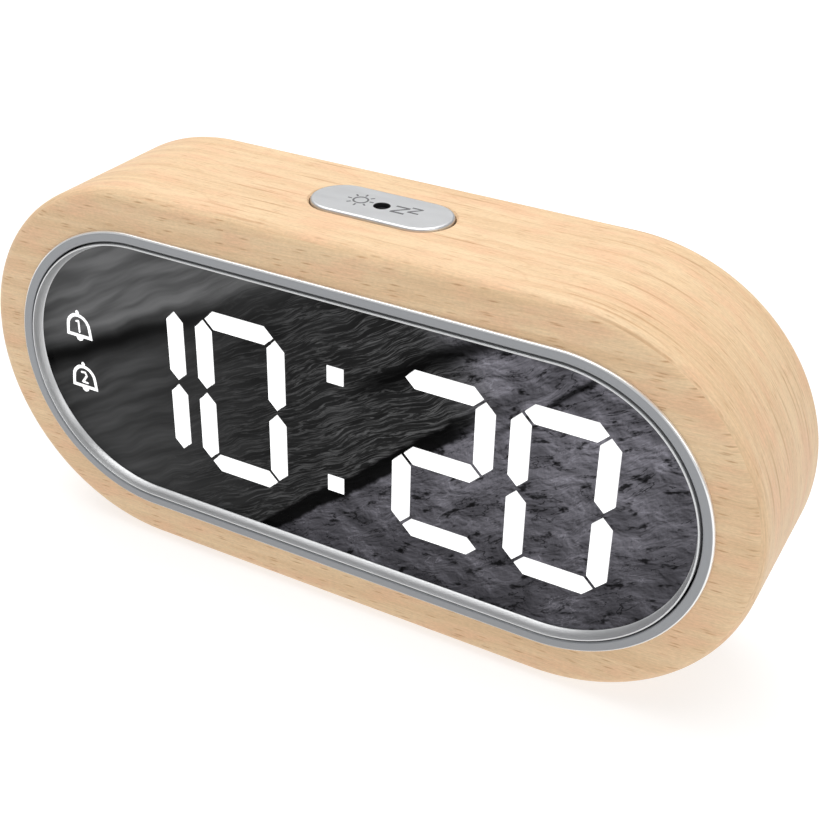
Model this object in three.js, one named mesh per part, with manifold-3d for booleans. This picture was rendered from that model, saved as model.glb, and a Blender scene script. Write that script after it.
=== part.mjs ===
// Bedside alarm clock: a beech case shaped like a capsule, a metal bezel, a dark lens with a lit
// 10:20 display, a brushed snooze bar on top, and keys, jacks, speaker and batteries at the back.
//
// Millimetres. +Z is up, the display looks along -Y and +X is on the right as you face it.
// The exported group stands on Z = 0 and is centred on X and Y. Inside it, every piece is placed in
// "clock" coordinates: x from the middle, y from the case's front face backwards, z from mid height.
import * as THREE from "three";
import { mergeVertices } from "three/addons/utils/BufferGeometryUtils.js";
import Module from "manifold-3d";

const wasm = await Module();
wasm.setup();

// ---------------------------------------------------------------- driving dimensions
const caseWidth = 169;
const caseHeight = 80;
const caseDepth = 36.2;
const caseEdge = 2; // radius on the outer edges of the wood
const footProud = 1; // how far the feet lift the case
const endSteps = 18; // facets round each half-round end
const fit = 0.3; // gap round a piece that sits in a pocket
const seam = 0.1; // gap between pieces that rest on each other

const endRadius = caseHeight / 2;
const straight = (caseWidth - caseHeight) / 2; // half the flat part of the top and bottom

// Radii of the capsule-shaped pieces, all measured from the same middle line.
const frontBore = 30.3;
const mainCavity = 33;
const rebate = 34.6;
const lipDepth = 9.2; // thickness of the wood lip behind the bezel
const coverFront = 33.1; // y of the rear cover's inner face
const coverBack = 35.4; // y of its outer face

// Display
const bezelProud = 0.75;
const bezelOuter = 31.6;
const bezelInner = 29.4;
const linerLip = 28.05;
const lensFront = 1.6;
const lensBack = 3.4;
const stroke = 3.95; // width of a lit segment
const digitHalfHeight = 16.53; // middle line of the digit to the middle line of its top segment
const digitHalfWidth = 8.44;
const tipGap = 0.51; // from a segment's tip to the crossing of two middle lines
const digitPitch = 23.85; // between the two digits of a pair
const pairOffset = 34.3; // middle of the display to the middle of a pair
const displayShift = 0.6; // the four digits sit this far right of the case's middle
const colonSide = 3.65;
const colonHeight = 12.3;
const bellX = -62.6;
const bellPitch = 12.3;

// Snooze bar
const barLength = 29.3;
const barWidth = 12.9;
const barProud = 0.45;
const barY = 18.9;
const sensorHole = 1.55; // radius
const snoozeBoardTop = 28;
const snoozeBoardFront = 12.3;
const boardThickness = 1.2;

// Rear
const keyPitch = 14;
const keyZ = 19.5;
const keyCap = [9, 5];
const boardFront = 20;
const boardBack = 21.6;
const portZ = -14;
const usbX = 9;
const jackX = 23;
const speakerX = 46.5;
const speakerZ = -3;
const doorMiddle = [-30.4, -5];
const doorOpening = [56, 37.4];
const traySize = [54, 35.4];
const doorThickness = 1.9;
const hingeRadius = doorThickness / 2;
const cellRadius = 5.25;
const cellLength = 44.5;
const cellPitch = 10.9;
const screwRing = 28.5; // distance of a cover screw from the middle of its round end
const screwAngle = THREE.MathUtils.degToRad(50);

// ---------------------------------------------------------------- materials
const finish = (color, roughness, metalness = 0) =>
  new THREE.MeshStandardMaterial({ color, roughness, metalness });
const beech = finish(0xe6c597, 0.55);
const satinMetal = finish(0xb4b7bb, 0.35, 1);
const brightMetal = finish(0xd9dcdf, 0.2, 1);
const brushedMetal = finish(0xc9ccd0, 0.4, 1);
const darkLens = finish(0x35353a, 0.12);
const litWhite = new THREE.MeshStandardMaterial({ color: 0xffffff, emissive: 0xffffff, roughness: 0.4 });
const whitePlastic = finish(0xe9e9e4, 0.6);
const blackPlastic = finish(0x1d1e20, 0.6);
const greyKey = finish(0x5b5e62, 0.65);
const rubber = finish(0x17171a, 0.9);
const circuitGreen = finish(0x1c5a3a, 0.5);
const steel = finish(0xb9b9b4, 0.3, 1);
const cellJacket = finish(0x2b5f9e, 0.4, 0.3);
const smokedPlastic = finish(0x0c0c0e, 0.15);
const conePaper = finish(0x2a2a2c, 0.85);
const ribbonGrey = finish(0x9b9ea3, 0.6);

// ---------------------------------------------------------------- solids and booleans
// A closed three.js geometry as a manifold solid.
function solid(geometry) {
  const bare = geometry.clone();
  for (const name of Object.keys(bare.attributes)) {
    if (name !== "position") bare.deleteAttribute(name);
  }
  const merged = mergeVertices(bare, 1e-4);
  const mesh = new wasm.Mesh({
    numProp: 3,
    vertProperties: merged.attributes.position.array,
    triVerts: new Uint32Array(merged.index.array),
  });
  return new wasm.Manifold(mesh);
}

// A manifold solid back as a geometry.
function geometryOf(manifold) {
  const mesh = manifold.getMesh();
  const geometry = new THREE.BufferGeometry();
  geometry.setAttribute("position", new THREE.BufferAttribute(mesh.vertProperties, 3));
  geometry.setIndex(new THREE.BufferAttribute(mesh.triVerts, 1));
  geometry.computeVertexNormals();
  return geometry;
}

// Adds and cuts lists of geometries on a first one.
function shaped(base, { add = [], cut = [] }) {
  let body = solid(base);
  for (const piece of add) body = body.add(solid(piece));
  for (const piece of cut) body = body.subtract(solid(piece));
  return geometryOf(body);
}

const clock = new THREE.Group();
clock.position.set(0, -caseDepth / 2, footProud + caseHeight / 2);

function addMesh(name, geometry, material, position = [0, 0, 0], parent = clock) {
  const mesh = new THREE.Mesh(geometry, material);
  mesh.name = name;
  mesh.position.set(...position);
  parent.add(mesh);
  return mesh;
}

// ---------------------------------------------------------------- shape helpers
// A profile of [radius, y] points carried round the capsule outline. It starts as a lathe with two
// extra columns; the columns are then set round the right end and the left end, which pulls the two
// halves apart. The profile runs front to back on its outside, and closes on the axis or on itself.
function capsule(profile) {
  const columns = 2 * (endSteps + 1);
  const points = profile.map(([radius, y]) => new THREE.Vector2(radius, y));
  const geometry = new THREE.LatheGeometry(points, columns);
  const position = geometry.attributes.position;
  for (let column = 0; column <= columns; column++) {
    const index = column % columns;
    const right = index <= endSteps;
    const step = right ? index : index - endSteps - 1;
    const angle = Math.PI / 2 - (step * Math.PI) / endSteps + (right ? 0 : Math.PI);
    const middle = right ? straight : -straight;
    profile.forEach(([radius, y], row) => {
      const at = column * profile.length + row;
      position.setXYZ(at, middle + radius * Math.cos(angle), y, radius * Math.sin(angle));
    });
  }
  return geometry;
}

// The full capsule-shaped slab of one radius.
const capsuleSlab = (radius, front, back) =>
  capsule([[0, front], [radius, front], [radius, back], [0, back]]);

// An outline in x and z, made solid between two depths y.
function slab(shape, front, back, curveSegments = 4) {
  const geometry = new THREE.ExtrudeGeometry(shape, {
    depth: back - front,
    bevelEnabled: false,
    curveSegments,
  });
  return geometry.rotateX(Math.PI / 2).translate(0, back, 0);
}

// An outline in x and y, made solid between two heights z.
function standing(shape, bottom, top, curveSegments = 5) {
  const options = { depth: top - bottom, bevelEnabled: false, curveSegments };
  return new THREE.ExtrudeGeometry(shape, options).translate(0, 0, bottom);
}

// A box from its low corner to its high corner.
function box(low, high) {
  const size = high.map((value, i) => value - low[i]);
  const middle = high.map((value, i) => (value + low[i]) / 2);
  return new THREE.BoxGeometry(...size).translate(...middle);
}

// A round bar along y, and a turned piece about y or z from [radius, distance] points.
const barAlongY = (radius, front, back, x = 0, z = 0, sides = 16) =>
  new THREE.CylinderGeometry(radius, radius, back - front, sides).translate(x, (front + back) / 2, z);
const turnedY = (profile, sides = 20) =>
  new THREE.LatheGeometry(profile.map(([r, y]) => new THREE.Vector2(r, y)), sides);
const turnedZ = (profile, sides = 20) => turnedY(profile, sides).rotateX(Math.PI / 2);

// A pill outline: a rectangle with fully round ends.
function pill(length, width) {
  const r = width / 2;
  const half = length / 2 - r;
  const shape = new THREE.Shape();
  shape.absarc(half, 0, r, -Math.PI / 2, Math.PI / 2);
  shape.absarc(-half, 0, r, Math.PI / 2, (3 * Math.PI) / 2);
  return shape;
}

// A rectangle with rounded corners about a middle point.
function roundedRectangle(width, height, radius, [x, z] = [0, 0]) {
  const shape = new THREE.Shape();
  const [a, b] = [width / 2 - radius, height / 2 - radius];
  [[a, b, 0], [-a, b, 1], [-a, -b, 2], [a, -b, 3]].forEach(([dx, dz, quarter]) => {
    const start = (quarter * Math.PI) / 2;
    shape.absarc(x + dx, z + dz, radius, start, start + Math.PI / 2);
  });
  return shape;
}

// ---------------------------------------------------------------- wooden case
function roundedSlabProfile(radius, front, back, edge, steps) {
  const corner = (cy, from) =>
    Array.from({ length: steps + 1 }, (_, i) => {
      const angle = from + (i / steps) * (Math.PI / 2);
      return [radius - edge + edge * Math.cos(angle), cy + edge * Math.sin(angle)];
    });
  return [
    [0, front],
    ...corner(front + edge, -Math.PI / 2),
    ...corner(back - edge, 0),
    [0, back],
  ];
}

const footPlaces = [-1, 1].flatMap((side) =>
  [8.6, caseDepth - 8.6].map((y) => [side * 38, y]),
);
const footRadius = 4.2;

function woodCase() {
  const outside = capsule(roundedSlabProfile(endRadius, 0, caseDepth, caseEdge, 4));
  const barSlot = standing(pill(barLength + 2 * fit, barWidth + 2 * fit), 28, 45);
  const pockets = footPlaces.map(([x, y]) =>
    turnedZ([[0, -45], [footRadius + fit, -45], [footRadius + fit, -38.8], [0, -38.8]], 16)
      .translate(x, y, 0),
  );
  return shaped(outside, {
    cut: [
      capsuleSlab(frontBore, -1, lipDepth + 1),
      capsuleSlab(mainCavity, lipDepth, coverFront + 1),
      capsuleSlab(rebate, coverFront - seam, caseDepth + 1),
      barSlot.translate(0, barY, 0),
      ...pockets,
    ],
  });
}

function foot() {
  const bottom = -endRadius - footProud;
  return turnedZ(
    [[0, bottom], [footRadius - 0.8, bottom], [footRadius, bottom + 0.8], [footRadius, -38.9], [0, -38.9]],
    16,
  );
}

// ---------------------------------------------------------------- bezel and lens
function bezelRing() {
  const edge = 0.55;
  const innerEdge = 0.45;
  const nose = Array.from({ length: 4 }, (_, i) => {
    const angle = -Math.PI / 2 + (i / 3) * (Math.PI / 2);
    return [bezelOuter - edge + edge * Math.cos(angle), edge - bezelProud + edge * Math.sin(angle)];
  });
  const innerRound = Array.from({ length: 4 }, (_, i) => {
    const angle = Math.PI + (i / 3) * (Math.PI / 2);
    const turned = [Math.cos(angle), Math.sin(angle)].map((part) => innerEdge * (1 + part));
    return [bezelInner + turned[0], turned[1] - bezelProud];
  });
  const skirt = frontBore - 0.2;
  return capsule([
    ...innerRound,
    ...nose,
    [bezelOuter, -0.03],
    [skirt, -0.03],
    [skirt, 6],
    [bezelInner, 6],
    innerRound[0],
  ]);
}

function bezelLiner() {
  const outer = bezelInner - fit;
  const brim = 0.05 - bezelProud;
  const brimRound = 0.25;
  const lip = 0.2;
  const back = lensFront - seam;
  return capsule([
    [outer, brim + brimRound],
    [outer, back],
    [linerLip, back],
    [linerLip, back - lip],
    [outer - 2 * brimRound, brim + brimRound],
    [outer - 1.5 * brimRound, brim],
    [outer - 0.5 * brimRound, brim],
    [outer, brim + brimRound],
  ]);
}

// A lit segment: a bar with 45 degree points, lying along x or standing along z.
function segment(halfLength, width, [x, z], upright) {
  const h = width / 2;
  const outline = [
    [-halfLength, 0],
    [h - halfLength, -h],
    [halfLength - h, -h],
    [halfLength, 0],
    [halfLength - h, h],
    [h - halfLength, h],
  ];
  return new THREE.Shape(
    outline.map(([along, across]) =>
      upright
        ? new THREE.Vector2(x - across, z + along)
        : new THREE.Vector2(x + along, z + across),
    ),
  );
}

const litSegments = { 0: "abcdef", 1: "bc", 2: "abdeg" };

function digitShapes(figure, centre, grow) {
  const [w, h] = [digitHalfWidth, digitHalfHeight];
  const across = w - tipGap + grow * Math.SQRT2;
  const up = h / 2 - tipGap + grow * Math.SQRT2;
  const wide = stroke + 2 * grow;
  const place = {
    a: [across, [0, h], false],
    b: [up, [w, h / 2], true],
    c: [up, [w, -h / 2], true],
    d: [across, [0, -h], false],
    e: [up, [-w, -h / 2], true],
    f: [up, [-w, h / 2], true],
    g: [across, [0, 0], false],
  };
  return [...litSegments[figure]].map((letter) => {
    const [half, [x, z], upright] = place[letter];
    return segment(half, wide, [x + centre, z], upright);
  });
}

const digits = [
  ["digit_hour_tens", 1, -pairOffset - digitPitch / 2],
  ["digit_hour_units", 0, -pairOffset + digitPitch / 2],
  ["digit_minute_tens", 2, pairOffset - digitPitch / 2],
  ["digit_minute_units", 0, pairOffset + digitPitch / 2],
].map(([name, figure, x]) => ({ name, figure, x: x + displayShift }));

function colonShapes(grow) {
  const side = colonSide + 2 * grow;
  return [1, -1].map((way) => roundedRectangle(side, side, 0.05, [0, way * colonHeight]));
}

// The bell outline with its knob and clapper, and the inside of its line, about its own middle.
const bellHalf = 3.35;
const bellBase = -2.75;
const bellShoulder = -0.4;
const bellLine = 0.69;

function bellOutline(line) {
  const half = bellHalf + line;
  const shape = new THREE.Shape();
  shape.moveTo(-half, bellBase - line);
  shape.lineTo(half, bellBase - line);
  shape.lineTo(half - 0.2, bellShoulder);
  shape.absarc(0, bellShoulder, half - 0.2, 0, Math.PI);
  return shape;
}

function bell(front, back, grow = 0) {
  const knob = new THREE.Shape().absarc(0, bellShoulder + bellHalf + 0.15, 0.45 + grow, 0, 2 * Math.PI);
  const clapper = new THREE.Shape().absarc(0, bellBase, 0.9 + grow, 0, 2 * Math.PI);
  return shaped(slab(bellOutline(grow), front, back, 5), {
    add: [slab(knob, front, back), slab(clapper, front, back)],
    cut: [slab(bellOutline(-bellLine - grow), front - 1, back + 1, 5)],
  });
}

// The numerals in the bells, each one stroke through these points.
const numeralStrokes = {
  1: [[-0.5, 1.1], [0.1, 1.25], [0.1, -1.3]],
  2: [[-0.65, 1.2], [0.35, 1.25], [0.65, 0.5], [-0.6, -1.15], [0.75, -1.2]],
};
const numeralZ = -0.2;

function numeral(figure, front, back, grow = 0) {
  const half = 0.2 + grow;
  const points = numeralStrokes[figure];
  const bars = points.slice(1).map((end, i) => {
    const start = points[i];
    const [run, rise] = [end[0] - start[0], end[1] - start[1]];
    const length = Math.hypot(run, rise) + 2 * half;
    return slab(roundedRectangle(length, 2 * half, half * 0.9), front, back, 1)
      .rotateY(-Math.atan2(rise, run))
      .translate((start[0] + end[0]) / 2, 0, (start[1] + end[1]) / 2 + numeralZ);
  });
  return shaped(bars[0], { add: bars.slice(1) });
}

const windowGap = 0.12; // round each lit shape in the lens
const inlayDepth = 0.8;

function displayLens() {
  const holes = digits
    .flatMap(({ figure, x }) => digitShapes(figure, x, windowGap))
    .concat(colonShapes(windowGap))
    .map((shape) => slab(shape, 0, 5));
  const grooves = [1, 2].flatMap((number) =>
    [
      bell(0, lensFront + inlayDepth, windowGap),
      numeral(number, 0, lensFront + inlayDepth, windowGap),
    ].map((piece) => piece.translate(bellX, 0, bellHeight(number))),
  );
  return shaped(capsuleSlab(bezelInner - fit, lensFront, lensBack), { cut: [...holes, ...grooves] });
}

const bellHeight = (number) => (number === 1 ? bellPitch / 2 : -bellPitch / 2);

// A light guide: raised shapes that fill the lens windows, joined by a plate behind the lens.
const guideFront = lensBack + seam;
const guideBack = guideFront + 1.4;

function lightGuide(shapes, [width, height], x) {
  const plate = box([x - width / 2, guideFront, -height / 2], [x + width / 2, guideBack, height / 2]);
  return shaped(plate, { add: shapes.map((shape) => slab(shape, lensFront + 0.02, guideFront + 0.5)) });
}

// ---------------------------------------------------------------- behind the display
const reflectorBack = 10;
const displayBoardBack = 11.7;
const innerRadius = 26.2;

function displayReflector() {
  const well = (x, z, width, height) =>
    box([x - width / 2, 0, z - height / 2], [x + width / 2, 12, z + height / 2]);
  const wells = [
    ...digits.map(({ x }) => well(x, 0, 20.5, 38)),
    well(0, 0, 6, 30),
    ...[1, 2].map((number) => well(bellX, bellHeight(number), 7, 9)),
  ];
  return shaped(capsuleSlab(innerRadius, guideBack + seam, reflectorBack), { cut: wells });
}

const displayBoard = () => capsuleSlab(innerRadius, reflectorBack + seam, displayBoardBack);

const screwPlaces = [1, -1].flatMap((side) =>
  [1, -1].map((up) => [
    side * (straight + screwRing * Math.cos(screwAngle)),
    up * screwRing * Math.sin(screwAngle),
  ]),
);

// The frame clamps lens, reflector and boards against the bezel, and carries the cover's screws.
function innerFrame() {
  const flangeBack = displayBoardBack;
  const ring = capsule([
    [innerRadius + fit, lensBack + seam],
    [bezelInner - fit, lensBack + seam],
    [bezelInner - fit, lipDepth + seam],
    [mainCavity - 0.4, lipDepth + seam],
    [mainCavity - 0.4, flangeBack],
    [innerRadius + fit, flangeBack],
    [innerRadius + fit, lensBack + seam],
  ]);
  const posts = screwPlaces.map(([x, z]) => barAlongY(3.5, flangeBack - 0.3, coverFront - seam, x, z, 12));
  const arms = [-17, 17].flatMap((x) => [
    box([x - 1.5, flangeBack - 0.7, innerRadius + 0.5], [x + 1.5, snoozeBoardFront - seam, 30]),
    box([x - 1.5, flangeBack + seam, 24.8], [x + 1.5, snoozeBoardFront - seam, 27]),
    box([x - 1.5, flangeBack + seam, 24.8], [x + 1.5, 24, snoozeBoardTop - boardThickness - seam]),
  ]);
  const holes = screwPlaces.map(([x, z]) => barAlongY(1.5, 22, 40, x, z, 12));
  const boardSeat = capsuleSlab(innerRadius + fit, 0, flangeBack + seam);
  return shaped(ring, { add: [...posts, ...arms], cut: [boardSeat, ...holes] });
}

// ---------------------------------------------------------------- snooze bar
function snoozePlate() {
  const thickness = 2;
  const edge = 0.45;
  const body = new THREE.ExtrudeGeometry(pill(barLength, barWidth), {
    depth: thickness - 2 * edge,
    bevelThickness: edge,
    bevelSize: edge,
    bevelOffset: -edge,
    bevelSegments: 2,
    curveSegments: 8,
  }).translate(0, 0, endRadius + barProud - thickness + edge);
  const top = endRadius + barProud;
  const hole = turnedZ([
    [0, 30],
    [sensorHole, 30],
    [sensorHole, top - 0.3],
    [sensorHole + 0.6, top + 0.3],
    [0, top + 0.3],
  ]);
  return shaped(body, { cut: [hole] });
}

const carrierBottom = 31.2;

// The bar's plunger. Its wide foot stops under the wood, and two coil springs lift it.
function snoozeCarrier() {
  const top = endRadius + barProud - 2 - seam;
  const flangeTop = mainCavity - fit;
  return shaped(standing(pill(28.3, 11.9), carrierBottom, top), {
    add: [standing(pill(36.7, 11.3), carrierBottom, flangeTop)],
    cut: [turnedZ([[0, 25], [sensorHole, 25], [sensorHole, 45], [0, 45]])],
  });
}

// A helix about z, as a tube swept along its curve.
class Helix extends THREE.Curve {
  constructor(radius, bottom, top, turns) {
    super();
    Object.assign(this, { radius, bottom, top, turns });
  }
  getPoint(t, target = new THREE.Vector3()) {
    const angle = t * this.turns * 2 * Math.PI;
    const height = THREE.MathUtils.lerp(this.bottom, this.top, t);
    return target.set(this.radius * Math.cos(angle), this.radius * Math.sin(angle), height);
  }
}

function coil(radius, wire, bottom, top, turns) {
  const path = new Helix(radius, bottom + wire, top - wire, turns);
  const section = new THREE.Shape(
    Array.from({ length: 5 }, (_, i) => {
      const angle = (i / 5) * 2 * Math.PI;
      return new THREE.Vector2(wire * Math.cos(angle), wire * Math.sin(angle));
    }),
  );
  return new THREE.ExtrudeGeometry(section, { steps: Math.round(turns * 9), extrudePath: path });
}

// A tact switch on a board: its square body, with a round plunger standing on it.
function tactSwitch(bodyHeight, plungerHeight) {
  return shaped(box([-3, -3, 0], [3, 3, bodyHeight]), {
    add: [turnedZ([[0, 0.5], [1.65, 0.5], [1.65, plungerHeight], [0, plungerHeight]], 12)],
  });
}

const snoozeBoard = () =>
  box([-20, snoozeBoardFront, snoozeBoardTop - boardThickness], [20, 24, snoozeBoardTop]);

// The light sensor, and the smoked pipe that stands over it and ends just inside the bar's hole.
function lightSensor() {
  const base = snoozeBoardTop + seam;
  return turnedZ([[0, base], [1.5, base], [1.5, base + 0.7], [0.9, base + 1.2], [0, base + 1.2]], 12);
}

function lightPipe() {
  const base = snoozeBoardTop + seam;
  const rod = sensorHole - 0.35;
  return turnedZ(
    [
      [1.8, base],
      [2.5, base],
      [2.5, base + 2.1],
      [rod, base + 2.1],
      [rod, endRadius - 0.1],
      [0, endRadius - 0.1],
      [0, base + 1.5],
      [1.8, base + 1.5],
      [1.8, base],
    ],
    16,
  );
}

// ---------------------------------------------------------------- rear cover
const [doorX, doorZ] = doorMiddle;
const doorBottom = doorZ - doorOpening[1] / 2 + fit;
const hingeY = coverBack - hingeRadius;
const hingeZ = doorBottom + hingeRadius;
const keyPlaces = [-2, -1, 0, 1, 2].map((i) => i * keyPitch);

// Speaker slots: level bars that end on a circle.
function speakerSlots() {
  const reach = 12.5;
  const pitch = 3.4;
  return [-3, -2, -1, 0, 1, 2, 3].map((i) => {
    const half = Math.sqrt(reach ** 2 - (i * pitch) ** 2);
    const slot = slab(pill(2 * half, 1.5), 30, 40, 2);
    return slot.translate(speakerX, 0, speakerZ + i * pitch);
  });
}

function rearCover() {
  const radius = rebate - fit;
  const plate = capsule([
    [0, coverFront],
    [radius, coverFront],
    [radius, coverBack - 0.4],
    [radius - 0.4, coverBack],
    [0, coverBack],
  ]);
  const pegs = [[-36, keyZ], [36, keyZ], [2.6, -24], [26, -24]].map(([x, z]) =>
    barAlongY(1.9, boardBack + seam, coverFront + 0.5, x, z, 12),
  );
  const countersinks = screwPlaces.map(([x, z]) =>
    turnedY([[0, 30], [1.75, 30], [1.75, 33.8], [3.35, coverBack], [3.35, 40], [0, 40]]).translate(x, 0, z),
  );
  const hingeNotch = box(
    [doorX - doorOpening[0] / 2 - 1.4, 30, hingeZ - 0.8],
    [doorX + doorOpening[0] / 2 + 1.4, coverBack - 0.35, hingeZ + 0.8],
  );
  const nailNotch = barAlongY(6, coverFront + 0.9, 40, doorX, doorZ + doorOpening[1] / 2 - 3, 20);
  return shaped(plate, {
    add: pegs,
    cut: [
      slab(roundedRectangle(...doorOpening, 0.6, doorMiddle), 30, 40, 2),
      hingeNotch,
      nailNotch,
      ...keyPlaces.map((x) => slab(pill(keyCap[0] + 0.6, keyCap[1] + 0.6), 30, 40).translate(x, 0, keyZ)),
      slab(roundedRectangle(13.7, 6.3, 0.6, [usbX, portZ]), 30, 40, 3),
      barAlongY(4.2, 30, 40, jackX, portZ, 20),
      ...speakerSlots(),
      ...countersinks,
    ],
  });
}

// Countersunk screw with a cross recess, its head just below the cover's face.
function coverScrew() {
  const head = coverBack - 0.15;
  const body = turnedY([[0, 24], [1.3, 24], [1.3, 33.75], [3, head], [0, head]], 16);
  return shaped(body, {
    cut: [box([-1.8, head - 1, -0.35], [1.8, 40, 0.35]), box([-0.35, head - 1, -1.8], [0.35, 40, 1.8])],
  });
}

// ---------------------------------------------------------------- keys
function key() {
  const top = caseDepth + bezelProud;
  const cap = new THREE.ExtrudeGeometry(pill(...keyCap), {
    depth: top - 30.6 - 0.5,
    bevelThickness: 0.5,
    bevelSize: 0.5,
    bevelOffset: -0.5,
    bevelSegments: 1,
    curveSegments: 4,
  })
    .rotateX(Math.PI / 2)
    .translate(0, top - 0.5, 0);
  const flange = coverFront - fit;
  return shaped(cap, { add: [slab(pill(keyCap[0] + 2, keyCap[1] + 2), flange - 1.2, flange)] });
}

// ---------------------------------------------------------------- battery bay
const trayWall = 1.2;
const trayFloor = 21.3;
const cellY = coverFront - seam - cellRadius - 0.2;

function batteryTray() {
  const [w, h] = traySize;
  const low = [doorX - w / 2, trayFloor, doorZ - h / 2];
  const high = [doorX + w / 2, coverFront - seam, doorZ + h / 2];
  const inner = box(
    [low[0] + trayWall, low[1] + 1, low[2] + trayWall],
    [high[0] - trayWall, 40, high[2] - trayWall],
  );
  return shaped(box(low, high), { cut: [inner] });
}

// A slim cell lying along x, its positive nub on the +X end.
function cell() {
  const half = cellLength / 2;
  return turnedY(
    [
      [0, -half],
      [cellRadius - 0.4, -half],
      [cellRadius, -half + 0.4],
      [cellRadius, half - 1.4],
      [cellRadius - 0.5, half - 0.9],
      [1.9, half - 0.9],
      [1.9, half],
      [0, half],
    ],
    18,
  ).rotateZ(-Math.PI / 2);
}

const cellRows = [1, 0, -1].map((i) => doorZ + i * cellPitch);
const trayEnd = traySize[0] / 2 - trayWall;

// A contact strip on one end wall of the tray. side is -1 or 1, and springs lists the rows with a coil.
function contact(side, rows, springs) {
  const wall = doorX + side * (trayEnd - seam);
  const face = wall - side * 0.5;
  const [from, to] = [Math.min(...rows), Math.max(...rows)];
  const [x0, x1] = [Math.min(wall, face), Math.max(wall, face)];
  const strip = box([x0, cellY - 3.5, from - 4], [x1, cellY + 3.5, to + 4]);
  const gap = trayEnd - seam - 0.5 - cellLength / 2;
  const coils = springs.map((z) =>
    coil(2.4, 0.3, -0.5, gap - 0.15, 3)
      .rotateY((-side * Math.PI) / 2)
      .translate(face, cellY, z),
  );
  const pads = rows
    .filter((z) => !springs.includes(z))
    .map((z) => box([Math.min(face - side * (gap - 0.3), face + side * 0.1), cellY - 1.5, z - 1.5],
      [Math.max(face - side * (gap - 0.3), face + side * 0.1), cellY + 1.5, z + 1.5]));
  return shaped(strip, { add: [...coils, ...pads] });
}

// The door fills the cover's opening. Its lower edge is half-round about the hinge pins.
function batteryDoor() {
  const width = doorOpening[0] - 2 * fit;
  const [left, right] = [doorX - width / 2, doorX + width / 2];
  const top = doorZ + doorOpening[1] / 2 - fit;
  const inner = coverBack - doorThickness;
  const leaf = box([left, inner, hingeZ], [right, coverBack, top]);
  const alongX = (radius, from, to) =>
    new THREE.CylinderGeometry(radius, radius, to - from, 16)
      .rotateZ(Math.PI / 2)
      .translate((from + to) / 2, hingeY, hingeZ);
  const ribs = [0, 1, 2, 3].map((i) => {
    const low = top - 9.5 + i * 1.6;
    return box([doorX - 6, coverBack - 0.5, low], [doorX + 6, coverBack + 0.35, low + 0.8]);
  });
  return shaped(leaf, {
    add: [alongX(hingeRadius, left, right), alongX(0.5, left - 1.2, right + 1.2), ...ribs],
  });
}

// ---------------------------------------------------------------- board, jacks and speaker
function mainBoard() {
  const corners = [
    [-38.5, 13.5],
    [-2, 13.5],
    [-2, -27],
    [28.5, -27],
    [28.5, 13.5],
    [38.5, 13.5],
    [38.5, 24.5],
    [-38.5, 24.5],
  ];
  const outline = new THREE.Shape(corners.map(([x, z]) => new THREE.Vector2(x, z)));
  return slab(outline, boardFront, boardBack);
}

function usbOutlet() {
  const shell = roundedRectangle(13.1, 5.7, 0.5, [usbX, portZ]);
  const mouth = roundedRectangle(12.1, 4.7, 0.3, [usbX, portZ]);
  return shaped(slab(shell, boardBack + seam, coverBack - 0.1, 3), {
    cut: [slab(mouth, 24, 40, 3)],
    add: [box([usbX - 5.5, 23, portZ + 0.1], [usbX + 5.5, 33.5, portZ + 1.9])],
  });
}

function dcJack() {
  const low = [jackX - 4.5, boardBack + seam, portZ - 4.5];
  const block = box(low, [jackX + 4.5, coverFront - fit, portZ + 4.5]);
  return shaped(block, {
    add: [barAlongY(3.9, 30, coverBack - 0.1, jackX, portZ, 20)],
    cut: [
      turnedY([[1, 26], [2.85, 26], [2.85, 40], [0, 40], [0, 34.3], [1, 34.3], [1, 26]], 20)
        .translate(jackX, 0, portZ),
    ],
  });
}

function speakerBasket() {
  return turnedY(
    [
      [0, 23], [7.5, 23], [7.5, 27.6], [14, 31.6], [15.2, 31.6], [15.2, coverFront - seam],
      [13.4, coverFront - seam], [7, 29.2], [0, 29.2],
    ],
    24,
  ).translate(speakerX, 0, speakerZ);
}

function speakerCone() {
  return turnedY(
    [
      [0, 30.2], [3.6, 29.7], [4.2, 29.7], [11.4, 32.2], [12.8, 32.85],
      [11.4, 32.6], [4.2, 30.1], [3, 30.9], [0, 31.3],
    ],
    24,
  ).translate(speakerX, 0, speakerZ);
}

function ribbonCable() {
  const path = new THREE.CatmullRomCurve3([
    new THREE.Vector3(12, 12, -8),
    new THREE.Vector3(12, 13.6, -7.6),
    new THREE.Vector3(12, 15.4, -3),
    new THREE.Vector3(12, 17.2, 1.8),
    new THREE.Vector3(12, 19.7, 2.4),
  ]);
  const section = new THREE.Shape();
  section.moveTo(-6, -0.2);
  section.lineTo(6, -0.2);
  section.lineTo(6, 0.2);
  section.lineTo(-6, 0.2);
  return new THREE.ExtrudeGeometry(section, { steps: 14, extrudePath: path });
}

// ---------------------------------------------------------------- the assembly
addMesh("wood_case", woodCase(), beech);
footPlaces.forEach(([x, y], i) => addMesh(`foot_${i + 1}`, foot(), rubber, [x, y, 0]));

addMesh("bezel_ring", bezelRing(), satinMetal);
addMesh("bezel_liner", bezelLiner(), brightMetal);
addMesh("display_lens", displayLens(), darkLens);
for (const { name, figure, x } of digits) {
  addMesh(name, lightGuide(digitShapes(figure, x, 0), [22.6, 40], x), litWhite);
}
addMesh("colon_dots", lightGuide(colonShapes(0), [6.5, 31], 0), litWhite);
for (const number of [1, 2]) {
  const place = [bellX, 0, bellHeight(number)];
  const [front, back] = [lensFront + 0.02, lensFront + inlayDepth - seam];
  addMesh(`alarm_${number}_bell`, bell(front, back), litWhite, place);
  addMesh(`alarm_${number}_numeral`, numeral(number, front, back), litWhite, place);
}
addMesh("display_reflector", displayReflector(), whitePlastic);
addMesh("display_board", displayBoard(), circuitGreen);
addMesh("inner_frame", innerFrame(), blackPlastic);

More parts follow.
